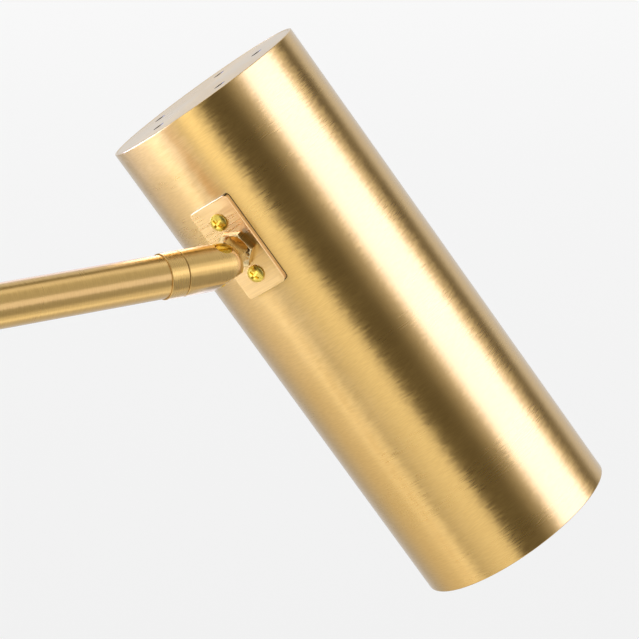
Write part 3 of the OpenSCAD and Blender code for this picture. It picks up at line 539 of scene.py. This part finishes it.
def combine(obj, others, operation):
    # cuts, joins or crosses the object with other shapes, which are used up; done enlarged round its
    # middle, where the solver keeps small shapes closed
    middle = sum((Vector(corner) for corner in obj.bound_box), Vector()) / 8
    enlarge = Matrix.Scale(cutting["enlarge"], 4) @ Matrix.Translation(-middle)
    for each in (obj, *others):
        each.data.transform(enlarge)
    for other in others:
        step = obj.modifiers.new("combine", "BOOLEAN")
        step.object = other
        step.operation = operation
        step.solver = "EXACT"
    bpy.context.view_layer.update()
    done = bpy.data.meshes.new_from_object(obj.evaluated_get(bpy.context.evaluated_depsgraph_get()))
    obj.modifiers.clear()
    bm = bmesh.new()
    bm.from_mesh(done)
    bmesh.ops.remove_doubles(bm, verts=bm.verts, dist=cutting["merge"])
    bmesh.ops.dissolve_degenerate(bm, edges=bm.edges, dist=cutting["merge"])
    bm.to_mesh(done)
    bm.free()
    done.transform(enlarge.inverted())
    old = obj.data
    obj.data = done
    done.name = old.name
    bpy.data.meshes.remove(old)
    for other in others:
        mesh = other.data
        bpy.data.objects.remove(other)
        bpy.data.meshes.remove(mesh)
    return obj


def finishPiece(obj, node, look=None, bevel=0.0, bevelFrom=32, sharp=38):
    # shading, finish and place among the bodies; the piece stands for its node
    mesh = obj.data
    mesh.materials.clear()
    mesh.materials.append(look or lookFor(node))
    mesh.shade_smooth()
    if bevel:
        soften = obj.modifiers.new("soften", "BEVEL")
        soften.width = bevel * mm
        soften.segments = 2
        soften.limit_method = "ANGLE"
        soften.angle_limit = math.radians(bevelFrom)
        soften.harden_normals = False
    else:
        mesh.set_sharp_from_angle(angle=math.radians(sharp))
    weigh = obj.modifiers.new("weigh", "WEIGHTED_NORMAL")
    weigh.keep_sharp = True
    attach(obj, homeOf[node])
    lightPiece(obj, node)
    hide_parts(node)
    return obj


def turnedPiece(node, outline, place, segments=4):
    finishPiece(toObject(node + "_turned", turnedShape(outline, segments=segments), place), node)


def ring(rOut, rIn, z0, z1, outer=0.3, inner=0.2):
    # outline of a tube or ring with rounded edges
    return [(rIn, z0, inner), (rOut, z0, outer), (rOut, z1, outer), (rIn, z1, inner)]


def lineAlong(spot, way, upright=0.9):
    # a place whose Z runs along a direction, with X turned up, or to the right if the direction is upright
    other = up if abs(way.dot(up)) < upright else Vector((1, 0, 0))
    return placeAt(Vector(spot), way, other)


def cylinderAt(radius, z0, z1, place, steps=48):
    bm = turnedShape([(0, z0, 0), (radius, z0, 0), (radius, z1, 0), (0, z1, 0)], steps)
    return toObject("cutter", bm, turnedBy(place, cutting["turn"]))


toFront, toBack = Vector((0, -1, 0)), Vector((0, 1, 0))     # knobs face front, the cord and grub screws back


def sideHole(radius, z, way):
    # cutter from the pole's axis out through one wall, at a height in metres
    return cylinderAt(radius, 0, reach, lineAlong((0, 0, z), way))


def flute(bm, count, depth, innerRadius):
    # draws the rim of a turned head in, in waves
    for v in bm.verts:
        radius = math.hypot(v.co.x, v.co.y)
        if radius > innerRadius * mm:
            wave = 0.5 - 0.5 * math.cos(count * math.atan2(v.co.y, v.co.x))
            grow = 1 - depth * mm * wave ** 2 / radius
            v.co.x *= grow
            v.co.y *= grow


def dished(radius, front, rim):
    # end of a knob's outline: how far each corner lies in from the rim and down from the front, and its
    # rounding, then the middle
    return [(radius - inset, front - down, soft) for inset, down, soft in rim] + [(0, front - rim[-1][1], 0)]


# foot and ceiling ends
pad = {"radius": 31.95, "height": 5.95, "edge": 0.9, "grooves": (9, 15, 21, 27), "groove": 1.0,
       "grooveFloor": 0.5, "grooveDeep": 0.7, "grooveEdge": 0.2}
cup = {"radius": 35, "bottom": 3, "plateTop": 12, "collarTop": 36, "fillet": 7, "edge": 1.4, "plateEdge": 2.2,
       "collarEdge": 1.0, "lipEdge": 0.3, "wall": 3, "recess": 32, "recessTop": 6, "screwHole": 3.2}


def makePad(node, place):
    p = pad
    half, floor = p["groove"], p["grooveFloor"]
    outline = [(0, 0, 0)]
    for r in p["grooves"]:
        outline += [(r - half, 0, 0), (r - floor, p["grooveDeep"], p["grooveEdge"]),
                    (r + floor, p["grooveDeep"], p["grooveEdge"]), (r + half, 0, 0)]
    outline += [(p["radius"], 0, p["edge"]), (p["radius"], p["height"], p["edge"]), (0, p["height"], 0)]
    turnedPiece(node, outline, place)


def makeCup(node, postRadius, place):
    c = cup
    wall = postRadius + c["wall"]
    outline = [(c["recess"], c["bottom"], c["lipEdge"]), (c["radius"], c["bottom"], c["edge"]),
               (c["radius"], c["plateTop"], c["plateEdge"]), (wall, c["plateTop"], c["fillet"]),
               (wall, c["collarTop"], c["collarEdge"]), (postRadius + fit, c["collarTop"], c["lipEdge"]),
               (postRadius + fit, c["plateTop"], 0), (c["screwHole"], c["plateTop"], 0),
               (c["screwHole"], c["recessTop"], 0), (c["recess"], c["recessTop"], 0)]
    turnedPiece(node, outline, place, segments=7)


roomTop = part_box("ceiling_pad")[1].z / mm
atCeiling = turnedBy(Matrix.Translation((0, 0, roomTop * mm)), 180, "X")
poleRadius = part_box("upper_pole")[1].x / mm
rodRadius = 7.0
makePad("foot_pad", atPole)
makePad("ceiling_pad", atCeiling)
makeCup("foot_cup", poleRadius, atPole)
makeCup("ceiling_cup", rodRadius, atCeiling)
print("ends made")


# pole sections, with the cord grommet and the switch
pole = {"wall": 1.4, "edge": 0.45, "boreEdge": 0.2}
grommet = {"z": middleOf("cord_grommet").z / mm, "bore": 3.5, "sleeve": 5.05, "lip": 6.7, "inner": 9.5,
           "outer": 14.1, "edge": 0.3, "lipEdge": 0.9, "mouthEdge": 0.7, "clear": 0.03, "cutHalf": 12}
switch = {"z": middleOf("switch_knob").z / mm, "hole": 5.05, "nut": 14, "nutThick": 2.5, "nutEdge": 0.25,
          "knob": 9.0, "knobFrom": 17.0, "knobLen": 14.0, "knobEdge": 0.8, "shaft": 3.0, "shaftDip": 0.3,
          "rim": ((0, 1.5, 0.5), (0.9, 0, 0.9), (2.2, 0, 0.5), (2.8, 0.6, 0.5)), "flutes": 18,
          "fluteDeep": 0.7, "pointer": 0.8, "pointerFrom": 2.2, "pointerDeep": 1.1, "cutTo": 40}
knobSteps = 144


def makePole(node, holes=()):
    z0, z1 = heightsOf(node)
    bm = turnedShape(ring(poleRadius, poleRadius - pole["wall"], z0, z1, pole["edge"], pole["boreEdge"]))
    section = toObject(node + "_turned", bm)
    if holes:
        combine(section, holes, "DIFFERENCE")
    finishPiece(section, node)


def makeGrommet():
    g = grommet
    place = lineAlong((0, 0, g["z"] * mm), toBack)
    lip = toObject("cord_grommet_moulded", turnedShape(
        [(g["bore"], g["inner"], g["edge"]), (g["lip"], g["inner"], 0), (g["lip"], g["outer"], g["lipEdge"]),
         (g["bore"], g["outer"], g["mouthEdge"])]), place)
    sleeve = toObject("sleeve", turnedShape(
        [(g["bore"], g["inner"], g["edge"]), (g["sleeve"], g["inner"], g["edge"]),
         (g["sleeve"], poleRadius, 0), (g["bore"], poleRadius, 0)]), place)
    low, high = g["z"] - g["cutHalf"], g["z"] + g["cutHalf"]
    combine(lip, [cylinderAt(poleRadius + g["clear"], low, high, atPole, roundSteps)], "DIFFERENCE")
    combine(lip, [sleeve], "UNION")
    finishPiece(lip, "cord_grommet", bevel=0.2)


def makeSwitch():
    s = switch
    place = lineAlong((0, 0, s["z"] * mm), toFront)
    nutShape = prismShape(6, s["nut"], poleRadius + fit, poleRadius + s["nutThick"], s["nutEdge"])
    nut = toObject("switch_nut_hex", nutShape, place)
    combine(nut, [cylinderAt(s["hole"], 0, s["cutTo"], place)], "DIFFERENCE")
    finishPiece(nut, "switch_nut", bevel=0.15)
    back, front = s["knobFrom"], s["knobFrom"] + s["knobLen"]
    dip = back - s["shaftDip"]
    bm = turnedShape([(0, dip, 0), (s["shaft"], dip, 0), (s["shaft"], back, 0),
                      (s["knob"], back, s["knobEdge"]), *dished(s["knob"], front, s["rim"])], knobSteps)
    flute(bm, s["flutes"], s["fluteDeep"], s["knob"] - s["fluteDeep"])
    knob = toObject("switch_knob_fluted", bm, place)
    half = s["pointer"] / 2
    notch = boxShape((s["pointerFrom"], -half, front - s["pointerDeep"]), (s["knob"] + 1, half, front + 1))
    combine(knob, [toObject("cutter", notch, place)], "DIFFERENCE")
    finishPiece(knob, "switch_knob")


makePole("lower_pole", [sideHole(grommet["sleeve"] + fit, grommet["z"] * mm, toBack)])
makePole("middle_pole", [sideHole(switch["hole"], switch["z"] * mm, toFront)])
makePole("upper_pole")
makeGrommet()
makeSwitch()
print("pole and switch made")


# locking collar, telescoping tube and plunger
collar = {"radius": 17.5, "grip": 24, "edge": 1.3, "topEdge": 2.1, "boreEdge": 0.3, "shoulder": 1.4,
          "shoulderEdge": 0.4, "grubRadius": 2.0, "screwHole": 3.0}
thumb = {"radius": 9.0, "length": 12.0, "shank": 2.95, "tipEdge": 0.4, "neck": 2.2, "cone": 1.2,
         "coneEdge": 0.6, "rim": ((0, 1.0, 0.6), (1.0, 0, 0.8), (2.4, 0, 0.5), (3.0, 0.5, 0.5)),
         "count": 12, "deep": 1.5, "plain": 1.0, "off": 3}
inner = {"radius": 11.02, "wall": 1.4, "edge": 0.3}
bush = {"clear": 0.08, "gap": 1.45, "edges": (0.3, 0.4, 0.3, 1.0, 0.8)}
rod = {"wall": 2, "gap": 1.48, "piston": 23.95, "pistonEdge": 0.5, "edge": 0.3, "screwHole": 3.05,
       "screwDeep": 36}


def makeThumbScrew(node, tip, head):
    t = thumb
    place = lineAlong((0, 0, middleOf(node).z), toFront)
    bm = turnedShape([(0, tip, 0), (t["shank"], tip, t["tipEdge"]), (t["shank"], head, 0),
                      (t["shank"] + t["neck"], head, 0), (t["radius"], head + t["cone"], t["coneEdge"]),
                      *dished(t["radius"], head + t["length"], t["rim"])], knobSteps)
    flute(bm, t["count"], t["deep"], t["radius"] - t["plain"])
    finishPiece(toObject(node + "_fluted", bm, place), node)


def makeCollar():
    c = collar
    z0, z1 = heightsOf("lock_collar")
    seat = z0 + c["grip"]
    bore, shoulder = poleRadius + fit, poleRadius - c["shoulder"]
    body = toObject("lock_collar_turned", turnedShape(
        [(bore, z0, c["boreEdge"]), (c["radius"], z0, c["edge"]), (c["radius"], z1, c["topEdge"]),
         (shoulder, z1, c["shoulderEdge"]), (shoulder, seat, 0), (bore, seat, 0)]))
    holes = [sideHole(c["screwHole"], middleOf("collar_knob").z, toFront),
             sideHole(c["grubRadius"], middleOf("collar_grub_screw").z, toBack)]
    combine(body, holes, "DIFFERENCE")
    finishPiece(body, "lock_collar")


def makeTelescope():
    z0, z1 = heightsOf("inner_tube")
    tube = inner["radius"]
    turnedPiece("inner_tube", ring(tube, tube - inner["wall"], z0, z1, inner["edge"]), atPole)
    b0, b1 = heightsOf("guide_bush")
    bore, sleeve, flange = rodRadius + bush["clear"], tube - bush["gap"], z1 + fit
    boreLow, sleeveLow, flangeLow, flangeTop, boreTop = bush["edges"]
    turnedPiece("guide_bush", [(bore, b0, boreLow), (sleeve, b0, sleeveLow), (sleeve, flange, 0),
                               (tube, flange, flangeLow), (tube, b1, flangeTop), (bore, b1, boreTop)], atPole)
    p0, p1 = heightsOf("plunger_rod")
    hollow, piston, pistonTop = rodRadius - rod["wall"], tube - rod["gap"], p0 + rod["piston"]
    deep = p1 - rod["screwDeep"]
    turnedPiece("plunger_rod", [(hollow, p0, 0), (piston, p0, rod["pistonEdge"]),
                                (piston, pistonTop, rod["pistonEdge"]), (rodRadius, pistonTop, 0),
                                (rodRadius, p1, rod["edge"]), (rod["screwHole"], p1, 0),
                                (rod["screwHole"], deep, 0), (hollow, deep, 0)], atPole)


# spring under the plunger's piston; the real one gives way as the plunger goes down, but here it is wound at one
# length
spring = {"wire": 2.0, "clear": 0.05, "turns": 20, "sides": 10, "stepsPerTurn": 24, "travel": 40.0}


def makeSpring():
    z0, z1 = heightsOf("tension_spring")
    half = spring["wire"] / 2
    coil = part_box("tension_spring")[1].x / mm - half
    steps = spring["turns"] * spring["stepsPerTurn"]
    start = turnedBy(Matrix.Translation(Vector((coil, 0, z0 + half)) * mm), 90, "X")
    bm = bmesh.new()
    bmesh.ops.create_circle(bm, segments=spring["sides"], radius=(half - spring["clear"]) * mm, matrix=start)
    rise = (z1 - z0 - spring["wire"]) / steps
    bmesh.ops.spin(bm, geom=bm.verts[:] + bm.edges[:], cent=(0, 0, 0), axis=(0, 0, 1), dvec=(0, 0, rise * mm),
                   angle=math.tau * spring["turns"], steps=steps)
    bmesh.ops.holes_fill(bm, edges=[e for e in bm.edges if e.is_boundary], sides=spring["sides"])
    bmesh.ops.recalc_face_normals(bm, faces=bm.faces)
    wound = finishPiece(toObject("tension_spring_wound", bm, atPole), "tension_spring")
    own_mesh(wound)


makeThumbScrew("collar_knob", inner["radius"] + bush["clear"], collar["radius"] + thumb["off"])
makeCollar()
makeTelescope()
makeSpring()
print("collar, telescope, plunger and spring made")


# arm carrier: two rings on the pole, the hub between them and its nylon bushes
carrier = {"radius": 19.0, "bore": 12.58, "edge": 1.4, "boreEdge": 0.3, "sides": 128, "boss": 12.0,
           "bossEnd": 42.0, "armRadius": 8.0, "grubFrom": 4, "bushBore": 13.98, "bushLen": 12, "flange": 17.0,
           "flangeThick": 1.2, "flangeEdge": 0.4, "bushEdge": 0.2}


def makeRing(node, hole):
    c = carrier
    z0, z1 = heightsOf(node)
    outline = ring(c["radius"], c["bore"], z0, z1, c["edge"], c["boreEdge"])
    body = toObject(node + "_turned", turnedShape(outline))
    combine(body, [hole], "DIFFERENCE")
    finishPiece(body, node)


def makeHub():
    c = carrier
    z0, z1 = heightsOf("arm_hub")
    armZ = pinSpot.z / mm
    hub = toObject("arm_hub_turned", turnedShape(
        [(0, z0, 0), (c["radius"], z0, c["edge"]), (c["radius"], z1, c["edge"]), (0, z1, 0)], c["sides"]))
    boss = toObject("boss", turnedShape(
        [(0, 0, 0), (c["boss"], 0, 0), (c["boss"], c["bossEnd"], c["edge"]), (0, c["bossEnd"], 0)]), atArm)
    combine(hub, [boss], "UNION")
    bore = cylinderAt(c["bushBore"] + fit, z0 - past, z1 + past, atPole, roundSteps)
    seat = cylinderAt(c["armRadius"] + fit, c["radius"], c["bossEnd"] + past, atArm, roundSteps)
    downward = lineAlong((middleOf("arm_grub_screw").x, 0, pinSpot.z), -up)
    grub = cylinderAt(collar["grubRadius"], c["grubFrom"], reach, downward)
    combine(hub, [bore, seat, grub], "DIFFERENCE")
    finishPiece(hub, "arm_hub", bevel=0.35)
    low, top, edge = z1 - c["bushLen"], z1 + c["flangeThick"], c["bushEdge"]
    bushes = toObject("hub_bushes_turned", turnedShape(
        [(c["bore"], low, edge), (c["bushBore"], low, edge), (c["bushBore"], z1, 0), (c["flange"], z1, edge),
         (c["flange"], top, c["flangeEdge"]), (c["bore"], top, c["boreEdge"])]))
    lower = bmesh.new()
    lower.from_mesh(bushes.data)
    below = Matrix.Translation((0, 0, 2 * armZ * mm)) @ Matrix.Diagonal((1, 1, -1, 1))
    twin = bmesh.ops.duplicate(lower, geom=lower.verts[:] + lower.edges[:] + lower.faces[:])["geom"]
    bmesh.ops.transform(lower, matrix=below, verts=vertsOf(twin))
    bmesh.ops.recalc_face_normals(lower, faces=lower.faces)
    lower.to_mesh(bushes.data)
    lower.free()
    finishPiece(bushes, "hub_bushes")


makeRing("carry_ring", sideHole(collar["screwHole"], middleOf("ring_knob").z, toFront))
makeRing("keep_ring", sideHole(collar["grubRadius"], middleOf("ring_grub_screw").z, toBack))
makeThumbScrew("ring_knob", carrier["bore"], carrier["radius"] + thumb["off"])
makeHub()
print("arm carrier made")


# arm, ferrule and knuckle, with lengths counted along the arm from the pin
arm = {"radius": 8.0, "wall": 1.0, "from": 19.05, "end": -19.45, "edge": 0.2}
ferrule = {"radius": 8.5, "back": -25.1, "front": -17.9, "plug": -33.45, "plugRadius": 6.95, "floor": -19.4,
           "bore": 4.08, "edge": 0.3, "plugEdge": 0.4, "boreEdge": 0.1, "seatEdge": 0.12}
knuckle = {"radius": 8.5, "back": -17.7, "edge": 0.3, "spigot": 4.0, "spigotBack": -41.5, "bore": 2.5,
           "boreBack": -60, "slot": 5.2, "slotBack": 4.7, "reliefWay": (-0.5878, 0.7447, 0.3161),
           "relief": 6.3, "pivot": 2.05, "pocket": 3.4, "pocketFrom": 5.6, "half": 12,
           "tip": 0.002}
tongue = {"radius": 4.5, "thick": 5.0, "steps": 32}
hexagon = {"across": 13.0, "from": 12.25, "to": 15.85, "face": 6.35, "cone": 2, "coneRise": 1.105, "turn": 30}
stud = {"radius": 4.9, "wire": 2.9, "wireFrom": 13.25, "wireTo": 60, "shank": 16.7, "overlap": 0.5}
pivot = {"half": 7.2, "shank": 2.0, "shankEdge": 0.3, "head": 3.3, "headEdge": 0.5, "seat": 5.65,
         "slotHalf": 0.5, "slotFrom": 6.4, "slotTo": 9, "nutEdge": 0.4, "nutBoreEdge": 0.1}


def makeArm():
    farEnd = (pinSpot - atArm.translation).length / mm + arm["end"]
    a, f = arm, ferrule
    turnedPiece("arm_tube", ring(a["radius"], a["radius"] - a["wall"], a["from"], farEnd, a["edge"]), atArm)
    seat = a["radius"] + fit
    outline = [(f["radius"], f["back"], f["edge"]), (f["radius"], f["front"], f["edge"]),
               (f["bore"], f["front"], f["boreEdge"]), (f["bore"], f["plug"], 0),
               (f["plugRadius"], f["plug"], f["plugEdge"]), (f["plugRadius"], f["floor"], 0),
               (seat, f["floor"], 0), (seat, f["back"], f["seatEdge"])]
    turnedPiece("arm_ferrule", outline, atPin)


def makeKnuckle():
    k = knuckle
    r, back, half = k["radius"], k["back"], k["half"]
    bm = turnedShape([(0, k["spigotBack"], 0), (k["spigot"], k["spigotBack"], k["edge"]),
                      (k["spigot"], back, 0), (r, back, k["edge"]), (r, r, r - k["tip"]), (0, r, 0)],
                     segments=14)
    way = Vector(k["reliefWay"])
    everything = bm.verts[:] + bm.edges[:] + bm.faces[:]
    cutAway = bmesh.ops.bisect_plane(bm, geom=everything, plane_co=way * k["relief"] * mm, plane_no=way,
                                     clear_outer=True)["geom_cut"]
    bmesh.ops.holes_fill(bm, edges=[g for g in cutAway if isinstance(g, bmesh.types.BMEdge)], sides=0)
    bmesh.ops.recalc_face_normals(bm, faces=bm.faces)
    body = toObject("fork_knuckle_milled", bm, atPin)
    acrossPin = turnedBy(atPin, 90, "Y")
    slotShape = boxShape((-k["slot"] / 2, -reach, -k["slotBack"]), (k["slot"] / 2, k["slotBack"], reach))
    slot = toObject("cutter", slotShape, atPin)
    wire = cylinderAt(k["bore"], k["boreBack"], past, atPin)
    hole = cylinderAt(k["pivot"], -half, half, acrossPin)
    pockets = [cylinderAt(k["pocket"], low, high, acrossPin)
               for low, high in ((-half, -k["pocketFrom"]), (k["pocketFrom"], half))]
    combine(body, [slot, wire, hole] + pockets, "DIFFERENCE")
    finishPiece(body, "fork_knuckle", bevel=0.3)


def tongueShape(top):
    # flat tongue with a round end about the pin, as one closed profile across X
    half, radius, steps = tongue["thick"] / 2, tongue["radius"], tongue["steps"]
    angles = [math.pi * (1 + i / steps) for i in range(steps + 1)]
    profile = [(radius * math.cos(a), radius * math.sin(a)) for a in angles] + [(radius, top), (-radius, top)]
    bm = bmesh.new()
    bm.faces.new([bm.verts.new((-half * mm, y * mm, z * mm)) for y, z in profile])
    lift(bm, x=2 * half)
    bmesh.ops.recalc_face_normals(bm, faces=bm.faces)
    return bm


def makeStud():
    h, s = hexagon, stud
    low, high, wide = h["from"], h["to"], h["face"] + h["cone"]
    nut = toObject("swivel_stud_hex", prismShape(6, h["across"], low, high), turnedBy(atStud, h["turn"]))
    crown = toObject("crown", turnedShape(
        [(0, low, 0), (h["face"], low, 0), (wide, low + h["coneRise"], 0), (wide, high - h["coneRise"], 0),
         (h["face"], high, 0), (0, high, 0)]), atStud)
    combine(nut, [crown], "INTERSECT")
    blade = toObject("blade", tongueShape(low + s["overlap"]), atStud)
    shank = cylinderAt(s["radius"], high - s["overlap"], high + s["shank"], atStud, roundSteps)
    combine(nut, [blade, shank], "UNION")
    hole = cylinderAt(knuckle["pivot"], -knuckle["half"], knuckle["half"], turnedBy(atStud, 90, "Y"))
    combine(nut, [hole, cylinderAt(s["wire"], s["wireFrom"], s["wireTo"], atStud)], "DIFFERENCE")
    finishPiece(nut, "swivel_stud", looks["stud"], bevel=0.16)


def makePivot():
    p = pivot
    half, shank, head, seat = p["half"], p["shank"], p["head"], p["seat"]
    acrossPin = turnedBy(atPin, 90, "Y")
    bm = turnedShape([(0, -half, 0), (shank, -half, p["shankEdge"]), (shank, seat, 0), (head, seat, 0),
                      (head, half, p["headEdge"]), (0, half, 0)])
    screw = toObject("pivot_screw_slotted", bm, acrossPin)
    slot = boxShape((-past, -p["slotHalf"], p["slotFrom"]), (past, p["slotHalf"], p["slotTo"]))
    combine(screw, [toObject("cutter", slot, acrossPin)], "DIFFERENCE")
    finishPiece(screw, "pivot_screw")
    nut = ring(head, knuckle["pivot"], -half, -seat, p["nutEdge"], p["nutBoreEdge"])
    turnedPiece("pivot_nut", nut, acrossPin)


makeArm()
makeKnuckle()
makeStud()
makePivot()
print("arm and knuckle made")


# head: shade, cap, plate and screws
shade = {"radius": 41.0, "wall": 1.2, "top": 51.7, "bottom": -158.3, "topEdge": 0.35, "innerEdge": 0.15,
         "mouthEdge": 0.45, "sides": 160}
cap = {"radius": 39.75, "thick": 1.45, "vents": 5, "vent": 2.25, "ventSides": 32, "circle": 25.0,
       "turn": 12.0, "edge": 0.25}
plate = {"length": 39.0, "width": 18.4, "thick": 1.6, "corner": 1.8, "cornerSteps": 6, "bends": 14,
         "bevel": 0.22, "steep": 0.5, "clear": 0.02, "hole": 4.98, "holeSpan": (-47, -36)}
screw = {"head": 3.35, "height": 1.8, "rim": 0.6, "rimEdge": 0.12, "seatEdge": 0.15, "shank": 1.75,
         "shankLen": 6, "tipEdge": 0.3, "crownSteps": 6, "sides": 64, "spacing": 23.4, "cross": 0.9,
         "crossLen": 4.0, "crossDeep": 1.2, "turn": 20}


def makeShade():
    s = shade
    inside = s["radius"] - s["wall"]
    bm = turnedShape([(inside, s["bottom"], s["mouthEdge"]), (s["radius"], s["bottom"], s["mouthEdge"]),
                      (s["radius"], s["top"], s["topEdge"]), (inside, s["top"], s["innerEdge"])], s["sides"])
    finishPiece(toObject("shade_tube_turned", bm, atHead), "shade_tube")


def makeCap():
    c = cap
    z1 = shade["top"] - fit
    top = Vector((0, 0, z1 * mm))
    bm = bmesh.new()
    bmesh.ops.create_circle(bm, segments=shade["sides"], radius=c["radius"] * mm,
                            matrix=Matrix.Translation(top))
    for i in range(c["vents"]):
        a = math.radians(c["turn"]) + i * 2 * math.pi / c["vents"]
        spot = Vector((math.cos(a), math.sin(a), 0)) * c["circle"] * mm + top
        bmesh.ops.create_circle(bm, segments=c["ventSides"], radius=c["vent"] * mm,
                                matrix=Matrix.Translation(spot))
    bmesh.ops.triangle_fill(bm, edges=bm.edges[:], use_beauty=True, use_dissolve=False, normal=(0, 0, 1))
    lift(bm, z=-c["thick"])
    bmesh.ops.recalc_face_normals(bm, faces=bm.faces)
    finishPiece(toObject("top_cap_pressed", bm, atHead), "top_cap", looks["cap"], bevel=c["edge"])


def makePlate():
    p = plate
    face = -(shade["radius"] + p["thick"]) * mm
    length, width = p["length"] * mm, p["width"] * mm
    bm = bmesh.new()
    bmesh.ops.create_grid(bm, x_segments=1, y_segments=p["bends"], size=0.5,
                          matrix=turnedBy(Matrix.Translation((face, 0, 0)), 90, "Y")
                          @ Matrix.Diagonal((length, width, 1, 1)))
    corners = [v for v in bm.verts if abs(abs(v.co.y) - width / 2) < same["coarse"]
               and abs(abs(v.co.z) - length / 2) < same["coarse"]]
    roundOff(bm, corners, p["corner"], p["cornerSteps"], "VERTICES")
    backRadius = (shade["radius"] + p["clear"]) * mm
    for v in lift(bm):
        v.co.x = -math.sqrt(backRadius ** 2 - v.co.y ** 2)      # the back sits on the shade
    bmesh.ops.recalc_face_normals(bm, faces=bm.faces)
    rim = [e for e in bm.edges if all(abs(v.co.x - face) < same["fine"] for v in e.verts)
           and len(e.link_faces) == 2 and e.calc_face_angle() > p["steep"]]
    roundOff(bm, rim, p["bevel"], 2)
    body = toObject("saddle_plate_milled", bm, atHead)
    hole = cylinderAt(p["hole"], *p["holeSpan"], turnedBy(atHead, 90, "Y"), roundSteps)
    combine(body, [hole], "DIFFERENCE")
    finishPiece(body, "saddle_plate", looks["plate"], sharp=25)


def makeScrews():
    s = screw
    seat = shade["radius"] + plate["thick"] + fit
    top = seat + s["height"]
    tip = seat - s["shankLen"]
    crown = s["height"] - s["rim"]
    crownRadius = (s["head"] ** 2 + crown ** 2) / (2 * crown)
    outline = [(0, tip, 0), (s["shank"], tip, s["tipEdge"]), (s["shank"], seat, 0),
               (s["head"], seat, s["seatEdge"])]
    for i in range(s["crownSteps"]):                        # shallow round crown
        r = s["head"] * (1 - i / s["crownSteps"])
        rise = math.sqrt(crownRadius ** 2 - r ** 2)
        outline.append((r, top - crownRadius + rise, 0 if i else s["rimEdge"]))
    outline.append((0, top, 0))
    pair = []
    for side in (-1, 1):
        spot = atHead @ Matrix.Translation((0, 0, side * s["spacing"] / 2 * mm))
        place = turnedBy(turnedBy(spot, -90, "Y"), s["turn"])
        one = toObject("plate_screws_driven", turnedShape(outline, s["sides"]), place)
        slots = []
        for long, wide in ((s["crossLen"], s["cross"]), (s["cross"], s["crossLen"])):
            slot = boxShape((-long / 2, -wide / 2, top - s["crossDeep"]), (long / 2, wide / 2, seat + past))
            slots.append(toObject("cutter", slot, place))
        combine(one, slots, "DIFFERENCE")
        pair.append(one)
    combine(pair[0], [pair[1]], "UNION")
    finishPiece(pair[0], "plate_screws", bevel=0.07)


makeShade()
makeCap()
makePlate()
makeScrews()
print("shade, cap and plate made")


# light inside the shade
holder = {"socket": 14.0, "socketTop": 13.1, "bottom": -23.55, "mouthEdge": 0.6, "skirt": 19.5,
          "skirtEdge": 1.2, "skirtTop": 2.45, "step": 1.2, "stepTop": 3.95, "stepEdge": 0.5, "shoulder": 1.5,
          "neckFrom": 12.45, "neck": 15.5, "neckEdge": 2.0, "top": 26.45, "nipple": 5.05, "nippleEdge": 0.3}
bulb = {"radius": 30.0, "end": -103.05, "ball": 42, "ballEdge": 14, "throat": 66, "throatEdge": 20,
        "neck": 12.0, "neckTop": -21.55, "wall": 1.0, "inEdge": 13.5, "pole": 0.1}


def makeHolder():
    h = holder
    waist = h["skirt"] - h["step"]
    outline = [(h["socket"], h["bottom"], h["mouthEdge"]), (h["skirt"], h["bottom"], h["skirtEdge"]),
               (h["skirt"], h["skirtTop"], h["shoulder"]), (waist, h["stepTop"], h["stepEdge"]),
               (waist, h["neckFrom"], h["neckEdge"]), (h["neck"], h["neckFrom"], h["neckEdge"]),
               (h["neck"], h["top"], h["neckEdge"]), (h["nipple"], h["top"], h["nippleEdge"]),
               (h["nipple"], h["socketTop"], 0), (h["socket"], h["socketTop"], 0)]
    turnedPiece("lampholder", outline, atHead)


def makeBulb():
    b = bulb
    end, outer, neck = b["end"], b["radius"], b["neck"]
    innerEnd, inside, bore = end + b["wall"], outer - b["wall"], neck - b["wall"]
    ball, throat = end + b["ball"], end + b["throat"]
    outline = [(0, end, 0), (outer, end, outer - b["pole"]), (outer, ball, b["ballEdge"]),
               (neck, throat, b["throatEdge"]), (neck, b["neckTop"], 0), (bore, b["neckTop"], 0),
               (bore, throat, b["throatEdge"]), (inside, ball, b["inEdge"]),
               (inside, innerEnd, inside - b["pole"]), (0, innerEnd, 0)]
    turnedPiece("bulb_glass", outline, atHead, segments=12)


makeHolder()
makeBulb()
print("light made")
